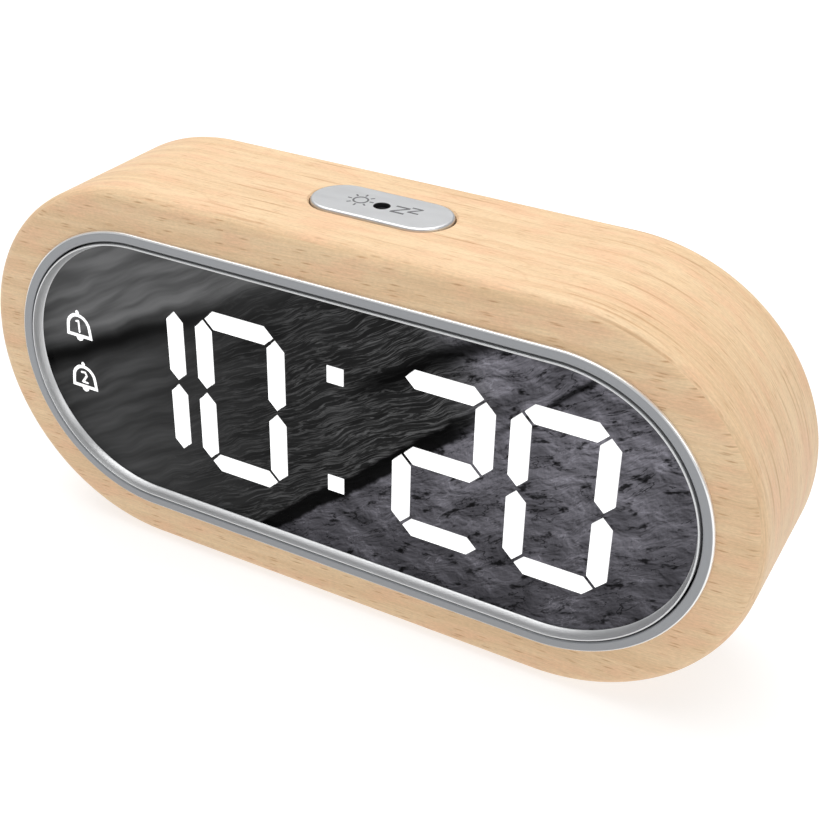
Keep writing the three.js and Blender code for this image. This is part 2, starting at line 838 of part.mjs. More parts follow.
addMesh("snooze_plate", snoozePlate(), brushedMetal, [0, barY, 0]);
addMesh("snooze_carrier", snoozeCarrier(), blackPlastic, [0, barY, 0]);
[["left", -13.5], ["right", 13.5]].forEach(([side, x]) => {
  const spring = coil(1.9, 0.25, snoozeBoardTop + seam, carrierBottom - seam, 3);
  addMesh(`snooze_spring_${side}`, spring, steel, [x, barY, 0]);
});
addMesh("snooze_switch", tactSwitch(1.7, 2.3), blackPlastic, [7.5, barY, snoozeBoardTop + seam]);
addMesh("snooze_board", snoozeBoard(), circuitGreen);
addMesh("light_sensor", lightSensor(), smokedPlastic, [0, barY, 0]);
addMesh("light_pipe", lightPipe(), smokedPlastic, [0, barY, 0]);

addMesh("rear_cover", rearCover(), blackPlastic);
screwPlaces.forEach(([x, z], i) => addMesh(`cover_screw_${i + 1}`, coverScrew(), steel, [x, 0, z]));
["set", "alarm_1", "alarm_2", "up", "down"].forEach((use, i) => {
  const x = keyPlaces[4 - i]; // listed left to right as seen from behind
  addMesh(`key_${use}`, key(), greyKey, [x, 0, keyZ]);
  const switchBody = tactSwitch(3.5, 7.8).rotateX(-Math.PI / 2);
  addMesh(`key_switch_${use}`, switchBody, blackPlastic, [x, boardBack + seam, keyZ]);
});
addMesh("main_board", mainBoard(), circuitGreen);
addMesh("control_chip", box([20, 18.4, 2], [27, boardFront - seam, 9]), blackPlastic);
addMesh("dc_jack", dcJack(), blackPlastic);
addMesh("usb_outlet", usbOutlet(), steel);
addMesh("speaker", speakerBasket(), steel);
addMesh("speaker_cone", speakerCone(), conePaper);
addMesh("ribbon_cable", ribbonCable(), ribbonGrey);

addMesh("battery_tray", batteryTray(), blackPlastic);
cellRows.forEach((z, i) => {
  const mesh = addMesh(`battery_cell_${i + 1}`, cell(), cellJacket, [doorX, cellY, z]);
  mesh.rotation.y = i === 1 ? Math.PI : 0;
});
addMesh("contact_left_bridge", contact(-1, cellRows.slice(0, 2), [cellRows[0]]), steel);
addMesh("contact_left_end", contact(-1, cellRows.slice(2), [cellRows[2]]), steel);
addMesh("contact_right_bridge", contact(1, cellRows.slice(1), [cellRows[1]]), steel);
addMesh("contact_right_end", contact(1, cellRows.slice(0, 1), []), steel);
addMesh("battery_door", batteryDoor(), blackPlastic);

export default clock;
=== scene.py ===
# %% [markdown]
# # A bedside alarm clock in beech
# The clock is a block of pale beech shaped like a capsule, with a metal bezel round a dark lens, lit
# numerals, and a brushed snooze bar on top. The imported CAD model gives every size and joint, and this
# lesson builds the surfaces that are seen round it: wood grain, brushed and polished metal, a reflection
# of dark planks painted into the lens, moulded plastic at the back.
# Everything is worked out in millimetres in the clock's own coordinates: x from the middle, y from the
# case's front face backwards, z from mid height. One helper turns them into metres in the frame.

# %% Load the frame
import math

import bmesh
import bpy
from mathutils import Matrix, Vector
from mathutils.geometry import tessellate_polygon


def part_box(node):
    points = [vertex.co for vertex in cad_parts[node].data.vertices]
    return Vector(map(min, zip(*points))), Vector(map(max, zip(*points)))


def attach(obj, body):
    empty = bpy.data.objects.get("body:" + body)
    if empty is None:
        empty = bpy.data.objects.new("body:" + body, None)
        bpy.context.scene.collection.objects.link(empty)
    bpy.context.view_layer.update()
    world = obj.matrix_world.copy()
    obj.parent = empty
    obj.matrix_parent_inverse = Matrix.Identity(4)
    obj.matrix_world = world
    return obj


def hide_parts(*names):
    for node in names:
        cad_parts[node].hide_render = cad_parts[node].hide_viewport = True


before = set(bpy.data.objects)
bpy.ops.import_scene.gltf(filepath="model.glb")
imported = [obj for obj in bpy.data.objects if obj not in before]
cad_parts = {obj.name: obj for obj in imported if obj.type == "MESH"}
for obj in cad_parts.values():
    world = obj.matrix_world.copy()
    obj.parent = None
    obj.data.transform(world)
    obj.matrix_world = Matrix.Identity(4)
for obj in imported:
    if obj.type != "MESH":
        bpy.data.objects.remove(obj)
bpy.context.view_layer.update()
MM = 0.001
scene = bpy.context.scene

# %% Read the clock's sizes from the frame
case_low, case_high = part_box("wood_case")
origin = Vector((0, case_low[1], (case_low[2] + case_high[2]) / 2))


def clock_box(node):
    """A CAD node's lowest and highest corner in clock coordinates, in millimetres."""
    return [(Vector(corner) - origin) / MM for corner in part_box(node)]


def clock_middle(node):
    low, high = clock_box(node)
    return (low + high) / 2


SQUARE = ((1, 1), (-1, 1), (-1, -1), (1, -1))
case_depth = clock_box("wood_case")[1].y
end_radius = clock_box("wood_case")[1].z
straight = clock_box("wood_case")[1].x - end_radius
print(f"case: straight half {straight:.1f}, end radius {end_radius:.1f}, depth {case_depth:.1f} mm")

# %% [markdown]
# ## Camera and studio
# A product shot like this is made with a short telephoto lens, from above and from the right, so that the
# front, the top and the right end all show. The camera sits on a sphere round a target: azimuth and
# elevation give the direction, and a small roll tilts the horizon the way a hand-held camera does.

# %% Camera
camera_azimuth, camera_elevation, camera_roll = (math.radians(a) for a in (27.99, 31.17, 1.346))
camera_target = origin + Vector((17.01, 0, 10.925)) * MM
camera_distance = 251.4 * MM


def aim(azimuth, elevation, roll):
    """A turn that looks back at the target from that direction."""
    back = Vector((
        math.sin(azimuth) * math.cos(elevation),
        -math.cos(azimuth) * math.cos(elevation),
        math.sin(elevation),
    ))
    right = Vector((0, 0, 1)).cross(back).normalized()
    turn = Matrix((right, back.cross(right), back)).transposed()
    return turn @ Matrix.Rotation(roll, 3, "Z"), back


turn, back = aim(camera_azimuth, camera_elevation, camera_roll)
camera = bpy.data.objects.new("camera", bpy.data.cameras.new("camera"))
camera.data.lens = 60.44
camera.data.sensor_width = 36
camera.data.clip_start = 0.01
camera.matrix_world = Matrix.Translation(camera_target + back * camera_distance) @ turn.to_4x4()
scene.collection.objects.link(camera)
scene.camera = camera
scene.view_settings.view_transform = "Standard"
print("camera at", [round(c, 3) for c in camera.location])

# %% [markdown]
# Pale wood and bright metal need soft light with a direction. A wide panel overhead makes the top of the
# case the brightest face, a smaller one lights the round right end, and the white world fills the
# shadows. The clock stands on a light table, a floor that glows a little, so hardly any shadow shows
# round it. Panels and table are also what the metal mirrors, so their size matters as much as their power.


# %% Lights, world and floor
def softbox(name, place, size, power):
    """A square panel of light that faces the clock."""
    light = bpy.data.lights.new(name, "AREA")
    light.shape = "RECTANGLE"
    light.size, light.size_y = size
    light.energy = power
    lamp = bpy.data.objects.new(name, light)
    lamp.location = place
    lamp.rotation_euler = (Vector(place) - origin).to_track_quat("Z", "Y").to_euler()
    scene.collection.objects.link(lamp)


softbox("overhead_panel", (-0.15, 0.1, 1.0), (1.1, 1.3), 11)
softbox("right_panel", (0.9, -0.35, 0.5), (0.5, 0.5), 1.2)

world = bpy.data.worlds.new("studio_white")
world.use_nodes = True
world.node_tree.nodes["Background"].inputs["Color"].default_value = (0.97, 0.985, 1, 1)
world.node_tree.nodes["Background"].inputs["Strength"].default_value = 0.48
scene.world = world

floor_mesh = bpy.data.meshes.new("floor")
reach = 3
floor_corners = [(-reach, -reach, 0), (reach, -reach, 0), (reach, reach, 0), (-reach, reach, 0)]
floor_mesh.from_pydata(floor_corners, [], [(0, 1, 2, 3)])
floor = bpy.data.objects.new("floor", floor_mesh)
scene.collection.objects.link(floor)
print("studio: two panels, white world, floor", 2 * reach, "m wide")

# %% [markdown]
# ## Materials as expressions
# A pattern such as wood grain is a formula. Wiring a formula node by node hides it, so one small class
# wraps a node's output and lets Python's operators add the Math nodes. `Graph.node` makes any node: its
# settings are set first, then its sockets take plain values or other outputs. The same class builds the
# Geometry Nodes trees further down.


# %% Node helpers
class Output:
    """One node output. Operators on it add Math nodes to the same graph."""

    def __init__(self, graph, socket):
        self.graph = graph
        self.socket = socket

    def math(self, operation, *others):
        inputs = dict(enumerate((self, *others)))
        return self.graph.node("ShaderNodeMath", {"operation": operation}, inputs)

    def __add__(self, other):
        return self.math("ADD", other)

    def __sub__(self, other):
        return self.math("SUBTRACT", other)

    def __rsub__(self, other):
        return self.math("MULTIPLY_ADD", -1.0, other)

    def __mul__(self, other):
        return self.math("MULTIPLY", other)

    def __truediv__(self, other):
        return self.math("DIVIDE", other)

    def __abs__(self):
        return self.math("ABSOLUTE")

    __radd__ = __add__
    __rmul__ = __mul__


class Graph:
    """A node tree that is written as expressions."""

    def __init__(self, tree):
        self.tree = tree

    def node(self, kind, settings=None, inputs=None, output=0):
        made = self.tree.nodes.new(kind)
        for name, value in (settings or {}).items():
            setattr(made, name, value)
        for name, value in (inputs or {}).items():
            self.feed(made.inputs[name], value)
        return Output(self, made.outputs[output])

    def feed(self, socket, value):
        if isinstance(value, Output):
            self.tree.links.new(value.socket, socket)
        else:
            socket.default_value = value

    def split(self, vector):
        parts = self.node("ShaderNodeSeparateXYZ", inputs={0: vector}).socket.node
        return [Output(self, output) for output in parts.outputs]

    def joined(self, x, y, z=0.0):
        return self.node("ShaderNodeCombineXYZ", inputs={0: x, 1: y, 2: z})

    def scaled(self, vector, lengths):
        """The vector divided by a length on each axis, so that a pattern has that size."""
        factors = [1 / length for length in lengths]
        return self.node("ShaderNodeVectorMath", {"operation": "MULTIPLY"}, {0: vector, 1: factors})

    def noise(self, vector, detail=2.0, roughness=0.5, distortion=0.0):
        inputs = {"Vector": vector, "Scale": 1.0, "Detail": detail}
        inputs |= {"Roughness": roughness, "Distortion": distortion}
        return self.node("ShaderNodeTexNoise", inputs=inputs)

    def step(self, value, low, high, start=0.0, end=1.0):
        """Runs smoothly from start to end as value goes from low to high."""
        inputs = {"Value": value, "From Min": low, "From Max": high, "To Min": start, "To Max": end}
        return self.node("ShaderNodeMapRange", {"interpolation_type": "SMOOTHSTEP"}, inputs)

    def mix(self, factor, a, b, blend="MIX"):
        """Colours a and b mixed by factor."""
        settings = {"data_type": "RGBA", "blend_type": blend}
        return self.node("ShaderNodeMix", settings, {0: factor, 6: opaque(a), 7: opaque(b)}, 2)

    def mix_number(self, factor, a, b):
        return self.node("ShaderNodeMix", {"data_type": "FLOAT"}, {0: factor, 2: a, 3: b})

    def shade(self, color, amount):
        """The colour times a number."""
        inputs = {0: color, "Scale": amount}
        return self.node("ShaderNodeVectorMath", {"operation": "SCALE"}, inputs)

    def bump(self, height, depth_mm):
        inputs = {"Height": height, "Strength": 1.0, "Distance": depth_mm * MM}
        return self.node("ShaderNodeBump", inputs=inputs)


def opaque(color):
    return color if isinstance(color, Output) else (*color, 1.0)


class Finish(Graph):
    """A material whose Principled shader takes values or outputs by socket name."""

    def __init__(self, name):
        self.material = bpy.data.materials.new(name)
        self.material.use_nodes = True
        super().__init__(self.material.node_tree)
        self.shader = self.material.node_tree.nodes["Principled BSDF"]
        place = self.node("ShaderNodeTexCoord", output="Object")
        self.mm = self.scaled(place, (MM, MM, MM))

    def set(self, **values):
        for name, value in values.items():
            self.feed(self.shader.inputs[name.replace("_", " ")], value)
        return self.material


def slots_take(node, material):
    """Gives a CAD node's object a finished material in place of its plain one."""
    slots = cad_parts[node].material_slots
    for slot in slots:
        slot.material = material


# %% [markdown]
# ## Beech
# Beech is pale, pinkish tan wood. Along the grain run fine fibres, wide bands of a slightly other tone,
# long thin growth lines, and the short dark flecks that tell beech from other pale woods. On this case the
# grain runs left to right across the front, and follows the outline round the rim, as on a bent board.
# So the pattern reads its own attribute, `grain`: along the grain in x, across it in y, both in
# millimetres. Each mark is one term of the formula: stretched noise for fibres and bands, the iso-lines of
# a slow noise for growth lines, and stretched Voronoi cells for the flecks.


# %% Beech material
def beech():
    f = Finish("beech")
    grain = f.node("ShaderNodeAttribute", {"attribute_name": "grain"}, output="Vector")
    face = f.split(grain)[2]
    bands = f.noise(f.scaled(grain, (48, 2.6, 1)), 3, 0.55, 0.5)
    fibres = f.noise(f.scaled(grain, (6, 0.28, 1)), 3, 0.65)
    mottle = f.noise(f.scaled(grain, (13, 4.5, 1)), 3, 0.55)
    speckle = f.noise(f.scaled(grain, (0.9, 0.35, 1)), 2, 0.6)
    slow = f.noise(f.scaled(grain, (110, 7, 1)), 1, 0.4)
    line = 1 - f.step(abs((slow * 10).math("PINGPONG", 0.5) - 0.25), 0.0, 0.05)

    def dashes(length, width, rare, seed):
        """Short dark dashes: a small ellipse in each stretched cell, where the cell's chance is high."""
        moved = {0: grain, 1: (seed, seed * 3, 0)}
        place = f.node("ShaderNodeVectorMath", {"operation": "ADD"}, moved)
        cells = {"Vector": f.scaled(place, (length, width, 1)), "Scale": 1.0, "Randomness": 1.0}
        cell = f.node("ShaderNodeTexVoronoi", {"voronoi_dimensions": "2D"}, cells)
        chance = f.split(Output(f, cell.socket.node.outputs["Color"]))[0]
        return (1 - f.step(cell, 0.04, 0.27)) * f.step(chance, rare, 1.0)

    on_rim = f.step(face, 0.2, 0.8)
    fleck = dashes(6.2, 0.8, 0.3, 3.1) * (1 - on_rim * 0.45)
    hair = dashes(38, 1.5, 0.1, 17.0) * on_rim
    color = f.mix(f.step(bands, 0.32, 0.68), (0.82, 0.60, 0.37), (0.74, 0.51, 0.30))
    color = f.mix(f.step(mottle, 0.42, 0.7) * 0.7, color, (0.80, 0.50, 0.305))
    marks = fleck * 0.7 + hair * 0.5 + line * on_rim * 0.14
    color = f.mix(marks, color, (0.46, 0.23, 0.10))
    color = f.shade(color, f.step(fibres, 0.25, 0.75, 0.9, 1.04) * f.step(speckle, 0.2, 0.8, 0.93, 1.07))
    height = fibres * 0.5 - fleck * 0.8 - hair
    return f.set(
        Base_Color=color,
        Roughness=f.step(fibres, 0.2, 0.8, 0.44, 0.56),
        Specular_IOR_Level=0.3,
        Normal=f.bump(height, 0.02),
    )


wood = beech()
print("beech:", len(wood.node_tree.nodes), "nodes")

# %% [markdown]
# ## Metals
# Three metals show. The bezel is satin: sand-blasted, so its roughness is even with a fine grain. The
# liner inside it is painted silver under a clear gloss. The snooze bar is brushed along its length: long
# fine scratches, which are noise stretched 200 times, spread the highlight across the scratches.


# %% Metal materials
hole_radius = 1.55


def satin_metal(name, color, roughness, grain_mm=0.12, bump_mm=0.004):
    f = Finish(name)
    speckle = f.noise(f.scaled(f.mm, (grain_mm,) * 3), 2, 0.6)
    cloud = f.noise(f.scaled(f.mm, (14, 14, 14)), 2, 0.5)
    return f.set(
        Base_Color=f.shade(f.mix(cloud, color, [c * 0.94 for c in color]), 0.96 + speckle * 0.08),
        Metallic=1.0,
        Roughness=roughness + (speckle - 0.5) * 0.12,
        Normal=f.bump(speckle, bump_mm),
    )


def brushed_metal(name, color):
    """Metal brushed along x, with painted shade: the wall of the sensor's hole is coloured black and dull.
    """
    f = Finish(name)
    scratch = f.noise(f.scaled(f.mm, (14, 0.07, 0.07)), 3, 0.7)
    fine = f.noise(f.scaled(f.mm, (5, 0.03, 0.03)), 1, 0.5)
    marks = scratch * 0.6 + fine * 0.4
    x, depth = f.split(f.mm)[:2]
    beside = depth - (clock_middle("snooze_plate").y + origin.y / MM)
    from_hole = (x * x + beside * beside).math("SQRT")
    # Painted shade: within the hole's radius the metal is coloured black, standing in for the shade inside
    # the hole.
    bore = 1 - f.step(from_hole, hole_radius + 0.07, hole_radius + 0.15)
    brushed = f.shade(f.mix(scratch, color, [c * 0.9 for c in color]), 0.9 + marks * 0.2)
    return f.set(
        Base_Color=f.mix(bore, brushed, (0.008, 0.008, 0.009)),
        Metallic=1 - bore,
        Roughness=f.mix_number(bore, f.step(marks, 0.3, 0.7, 0.3, 0.5), 0.7),
        Normal=f.bump(marks, 0.006),
    )


def bezel_finish():
    """Satin all over, with a bright cut edge along its outer round."""
    f = Finish("bezel_satin")
    place = f.split(f.mm)
    x, z = place[0], place[2] - origin.z / MM
    beyond = (abs(x) - straight).math("MAXIMUM", 0.0)
    radius = (beyond * beyond + z * z).math("SQRT")
    outer = clock_box("bezel_ring")[1].z
    cut_edge = f.step(radius, outer - 0.42, outer - 0.32)
    speckle = f.noise(f.scaled(f.mm, (0.12, 0.12, 0.12)), 2, 0.6)
    satin = f.shade((0.29, 0.297, 0.309), 0.96 + speckle * 0.08)
    return f.set(
        Base_Color=f.mix(cut_edge, satin, (0.93, 0.93, 0.93)),
        Metallic=0.7,
        Roughness=f.mix_number(cut_edge, 0.36, 0.16),
        Normal=f.bump(speckle, 0.003),
    )


def liner_finish():
    """Even silver paint with a clear gloss."""
    f = Finish("liner_silver")
    speckle = f.noise(f.scaled(f.mm, (0.6, 0.6, 0.6)), 2, 0.6)
    return f.set(
        Base_Color=f.shade((0.70, 0.704, 0.708), 0.98 + speckle * 0.03),
        Metallic=0.5,
        Roughness=0.28 + speckle * 0.05,
    )


bezel_metal = bezel_finish()
liner_metal = liner_finish()
bar_metal = brushed_metal("snooze_bar_brushed", (0.74, 0.742, 0.747))
spring_metal = satin_metal("spring_steel", (0.55, 0.54, 0.52), 0.25)
nickel_metal = satin_metal("nickel_plate", (0.66, 0.63, 0.57), 0.22)
print("metals made")

# %% [markdown]
# ## Plastics, rubber and boards
# A moulded case part isn't smooth: its mould is spark-eroded, which leaves a fine even grain. Rubber is
# duller and carries dust. A circuit board is green lacquer over copper tracks, which show as paler lines.


# %% Plastic, rubber and board materials
def moulded(name, color, roughness=0.55, grain_mm=0.35, bump_mm=0.02, specular=0.4):
    f = Finish(name)
    pits = f.noise(f.scaled(f.mm, (grain_mm,) * 3), 3, 0.65)
    cloud = f.noise(f.scaled(f.mm, (18, 18, 18)), 3, 0.5)
    return f.set(
        Base_Color=f.shade(f.mix(cloud, color, [c * 0.85 for c in color]), 0.94 + pits * 0.12),
        Roughness=roughness + (pits - 0.5) * 0.15,
        Specular_IOR_Level=specular,
        Normal=f.bump(pits, bump_mm),
    )


def lit_plastic():
    f = Finish("lit_white")
    glow = f.noise(f.scaled(f.mm, (9, 9, 9)), 1, 0.5)
    return f.set(
        Base_Color=f.shade((0.9, 0.9, 0.9), 0.97 + glow * 0.06),
        Roughness=0.4,
        Emission_Color=(1, 1, 1, 1),
        Emission_Strength=0.62,
    )


def circuit_board():
    f = Finish("circuit_board")
    x, y, z = f.split(f.mm)
    pitch = 1.27
    wander = f.noise(f.scaled(f.mm, (7, 7, 7)), 0, 0.5) * 4
    track = 1 - f.step(abs(((x + wander) / pitch).math("PINGPONG", 0.5) - 0.25), 0.03, 0.08)
    lacquer = f.mix(track * 0.6, (0.012, 0.085, 0.035), (0.03, 0.17, 0.07))
    return f.set(Base_Color=lacquer, Roughness=0.35, Normal=f.bump(track, 0.02))


def ribbon_plastic():
    f = Finish("ribbon_plastic")
    x, y, z = f.split(f.mm)
    groove = f.step(abs((x / 1.27).math("PINGPONG", 0.5) - 0.25), 0.0, 0.1)
    color = f.mix(groove, (0.28, 0.29, 0.30), (0.42, 0.43, 0.45))
    return f.set(Base_Color=color, Roughness=0.5, Normal=f.bump(groove, 0.1))


cover_plastic = moulded("cover_plastic", (0.022, 0.022, 0.024), 0.5)
inner_plastic = moulded("inner_plastic", (0.03, 0.03, 0.032), 0.6, 0.5)
key_plastic = moulded("key_plastic", (0.13, 0.135, 0.145), 0.5, 0.25, 0.012)
switch_plastic = moulded("switch_plastic", (0.018, 0.018, 0.02), 0.45, 0.4, 0.01)
jack_plastic = moulded("jack_plastic", (0.014, 0.014, 0.016), 0.3, 0.5, 0.006)
white_plastic = moulded("white_plastic", (0.78, 0.78, 0.75), 0.55, 0.4, 0.01)
smoked_plastic = moulded("smoked_plastic", (0.003, 0.003, 0.004), 0.2, 2, 0.001, 0.1)
foot_rubber = moulded("foot_rubber", (0.02, 0.02, 0.021), 0.85, 0.6, 0.04, 0.2)
cone_paper = moulded("cone_paper", (0.03, 0.03, 0.032), 0.9, 0.8, 0.05, 0.15)
print_ink = moulded("print_ink", (0.16, 0.16, 0.165), 0.6, 0.2, 0.002, 0.2)
white_ink = moulded("white_ink", (0.62, 0.62, 0.62), 0.6, 0.2, 0.002, 0.2)
lit_white = lit_plastic()
board_green = circuit_board()
ribbon_grey = ribbon_plastic()
print("materials so far:", len(bpy.data.materials))

# %% [markdown]
# ## The painted reflection in the lens
# The lens is a dark mirror. The reflection in it, of weathered, charcoal-black planks that run up to the
# right, with black gaps between them, is painted into its colour. On the left the planks are smooth and out
# of focus, and the painted reflection darkens towards the left end. On the right they break up into rough,
# slate-like wood with a touch of violet. The painted reflection is a formula too. A gap is the distance to
# a slanting line, bent a little by noise. The rough wood has painted relief: a noise minus the same noise
# moved a little to one side, which paints light and shade as if lit from that side.


# %% Lens material
def lens_decor():
    # Painted reflection: the planks that the mirror lens shows are painted into its colour, and its own
    # gloss is kept faint.
    f = Finish("lens_decor")
    place = f.split(f.mm)
    x, z = place[0], place[2] - origin.z / MM
    plane = f.joined(x, z)
    warp = f.noise(f.scaled(plane, (17, 17, 1)), 2, 0.5) - 0.5
    kink = f.noise(f.scaled(plane, (3.2, 3.2, 1)), 3, 0.6) - 0.5

    def beside(px, pz, degrees, bend, rough):
        """Signed distance to a slanting line through (px, pz): above it is positive."""
        angle = math.radians(degrees)
        straight_on = (z - pz) * math.cos(angle) - (x - px) * math.sin(angle)
        return straight_on + warp * bend + kink * rough

    def gap(distance, width, soft):
        return 1 - f.step(abs(distance), width / 2 - soft / 2, width / 2 + soft / 2)

    first = beside(-46.4, 8.6, 27, 3.5, 0.3)
    second = beside(2.6, -11.6, 41, 2.5, 1.3)
    third = beside(13.6, 16.4, 34, 3.0, 0.8)
    fourth = beside(41, 16.6, 42, 2.0, 0.7)
    angle = math.radians(31)
    run = x * math.cos(angle) + z * math.sin(angle)
    rise = z * math.cos(angle) - x * math.sin(angle) + warp * 5
    plank = f.joined(run, rise)
    soft_streak = f.noise(f.scaled(plank, (26, 2.6, 1)), 2, 0.5)
    fine_streak = f.noise(f.scaled(plank, (9, 0.55, 1)), 4, 0.65, 0.4)
    rough = (1 - f.step(second, -1.5, 1.0)).math("MAXIMUM", f.step(run, 26, 40))
    sharp = f.step(run + z * -0.7, -42, 12)

    # Painted light and shade: a noise minus the same noise moved aside darkens one side of each bump, as if
    # lit.
    def painted_relief(size, detail, shift):
        here = f.noise(f.scaled(plank, (size * 1.5, size * 0.75, 1)), detail, 0.62, 0.4)
        moved = f.joined(run + shift, rise + shift * 0.7)
        there = f.noise(f.scaled(moved, (size * 1.5, size * 0.75, 1)), detail, 0.62, 0.4)
        return here - there

    slate = painted_relief(4.2, 6, 0.35) * 5.5
    blotch = f.noise(f.scaled(plane, (9, 6, 1)), 3, 0.6)
    hair = f.noise(f.scaled(plank, (8, 2.6, 1)), 4, 0.6, 0.8)
    wrinkle = (1 - f.step(abs(hair - 0.5), 0.0, 0.025)) * f.step(blotch, 0.5, 0.62)
    pits = f.step(f.noise(f.scaled(plank, (4.6, 2.2, 1)), 3, 0.6), 0.32, 0.44, 0.1, 1.0)
    crack = f.noise(f.scaled(plank, (15, 5, 1)), 5, 0.6, 0.6)
    cracks = (1 - f.step(abs(crack - 0.46), 0.0, 0.014)) * f.step(blotch, 0.6, 0.45) * 0.8
    strand = f.noise(f.scaled(plank, (13, 1.1, 1)), 5, 0.62, 0.9)
    strands = 1 - f.step(abs(strand - 0.5), 0.0, 0.07)
    lower_plank = f.step(x, -58, -12, 0.5, 0.17)
    upper_plank = f.step(first, -4, 4)
    smooth_tone = f.step(soft_streak, 0.25, 0.8, 0.07, 0.16) * f.mix_number(upper_plank, lower_plank, 1.15)
    frayed = smooth_tone * (0.45 + fine_streak * 0.8) + strands * f.step(fine_streak, 0.3, 0.7) * 0.11
    grained = smooth_tone * (1 - sharp) + frayed * sharp
    relief_tone = (1 + slate).math("MAXIMUM", 0.12)
    slate_tone = f.step(z, -24, 16, 0.078, 0.15) * relief_tone * f.step(blotch, 0.25, 0.72, 0.55, 1.35)
    slate_tone = slate_tone * pits * (1 - cracks) + wrinkle * 0.08
    tone = grained * (1 - rough) + slate_tone * rough
    # Painted shade: the painted reflection darkens towards the left end.
    left_shadow = f.step(x, -80, -56, 0.65, 1.0)
    gaps = (gap(first, 5.0, 4.6) * f.step(run, -40, 4, 1.0, 0.55)).math(
        "MAXIMUM", gap(second, 3.4, 1.0) * f.step(run, 24, 36, 1.0, 0.35)
    )
    gaps = gaps.math("MAXIMUM", gap(third, 3.6, 3.0) * f.step(run, 4, 16, 0.0, 0.95))
    gaps = gaps.math("MAXIMUM", gap(fourth, 1.1, 0.8) * f.step(run, 30, 40, 0.0, 0.9))
    tone = tone * left_shadow * (1 - gaps * 0.97)
    tint = f.mix(rough, (1, 1, 1.01), (1.0, 0.965, 1.1))
    return f.set(Base_Color=f.shade(tint, tone), Roughness=0.1, Specular_IOR_Level=0.02)


painted_reflection = lens_decor()
slots_take("display_lens", painted_reflection)
lit_nodes = [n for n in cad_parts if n.startswith(("digit_", "colon_", "alarm_"))]
for node in lit_nodes:
    slots_take(node, lit_white)
print("lens decor:", len(painted_reflection.node_tree.nodes), "nodes; lit pieces:", len(lit_nodes))

# %% [markdown]
# ## Geometry Nodes for what follows the outline
# The case, the bezel and the liner share one outline, a capsule, and differ only in their section. So one
# tree sweeps any section round it: a rectangle whose corners are filleted until they meet is the path, and
# the object's own curve is the section. Drawing the section as (radius, depth) points keeps each piece to
# a handful of numbers. A second tree sets copies of one piece on a grid of points.


# %% Geometry Nodes helpers
def new_tree(name, inputs):
    tree = bpy.data.node_groups.new(name, "GeometryNodeTree")
    tree.interface.new_socket("Piece", in_out="INPUT", socket_type="NodeSocketGeometry")
    for label, kind in inputs.items():
        tree.interface.new_socket(label, in_out="INPUT", socket_type="NodeSocket" + kind)
    tree.interface.new_socket("Result", in_out="OUTPUT", socket_type="NodeSocketGeometry")
    graph = Graph(tree)
    source = tree.nodes.new("NodeGroupInput")
    return graph, {socket.name: Output(graph, socket) for socket in source.outputs if socket.name}


def end_tree(graph, geometry, material):
    real = graph.node("GeometryNodeRealizeInstances", inputs={0: geometry})
    done = graph.node("GeometryNodeSetMaterial", inputs={"Geometry": real, "Material": material})
    sink = graph.tree.nodes.new("NodeGroupOutput")
    graph.feed(sink.inputs[0], done)
    return graph.tree


def capsule_sweep():
    sizes = {"Half Length": "Float", "Radius": "Float", "Steps": "Int", "Material": "Material"}
    g, given = new_tree("capsule_sweep", sizes)
    height = given["Radius"] * 2
    width = given["Half Length"] * 2 + height
    box = g.node("GeometryNodeCurvePrimitiveQuadrilateral", inputs={"Width": width, "Height": height})
    rounding = {"Curve": box, "Radius": given["Radius"], "Count": given["Steps"], "Limit Radius": True}
    path = g.node("GeometryNodeFilletCurve", {"mode": "POLY"}, rounding)
    swept = g.node("GeometryNodeCurveToMesh", inputs={"Curve": path, "Profile Curve": given["Piece"]})
    closed = g.node("GeometryNodeMergeByDistance", inputs={"Geometry": swept, "Distance": 1e-6})
    upright = {"Geometry": closed, "Rotation": (math.pi / 2, 0, 0)}
    return end_tree(g, g.node("GeometryNodeTransform", inputs=upright), given["Material"])


def copies_on_grid():
    sizes = {"Columns": "Int", "Rows": "Int", "Width": "Float", "Depth": "Float", "Material": "Material"}
    g, given = new_tree("copies_on_grid", sizes)
    grid_inputs = {
        "Size X": given["Width"],
        "Size Y": given["Depth"],
        "Vertices X": given["Columns"],
        "Vertices Y": given["Rows"],
    }
    grid = g.node("GeometryNodeMeshGrid", inputs=grid_inputs)
    copies = g.node("GeometryNodeInstanceOnPoints", inputs={"Points": grid, "Instance": given["Piece"]})
    return end_tree(g, copies, given["Material"])


sweep_tree = capsule_sweep()
grid_tree = copies_on_grid()


def run_tree(name, data, tree, values):
    """Runs a tree on a curve or mesh, and returns the result as a plain mesh."""
    carrier = bpy.data.objects.new(name + ".source", data)
    scene.collection.objects.link(carrier)
    modifier = carrier.modifiers.new(tree.name, "NODES")
    modifier.node_group = tree
    for item in tree.interface.items_tree:
        if item.in_out == "INPUT" and item.name in values:
            modifier[item.identifier] = values[item.name]
    evaluated = carrier.evaluated_get(bpy.context.evaluated_depsgraph_get())
    mesh = bpy.data.meshes.new_from_object(evaluated)
    bpy.data.objects.remove(carrier)
    mesh.name = name
    return mesh


def smooth_shaded(mesh, degrees=35):
    mesh.polygons.foreach_set("use_smooth", [True] * len(mesh.polygons))
    mesh.set_sharp_from_angle(angle=math.radians(degrees))
    return mesh


def outward(mesh):
    """Merges doubles and turns every face outwards."""
    shape = bmesh.new()
    shape.from_mesh(mesh)
    bmesh.ops.remove_doubles(shape, verts=shape.verts, dist=1e-7)
    bmesh.ops.recalc_face_normals(shape, faces=shape.faces)
    shape.to_mesh(mesh)
    shape.free()
    return mesh


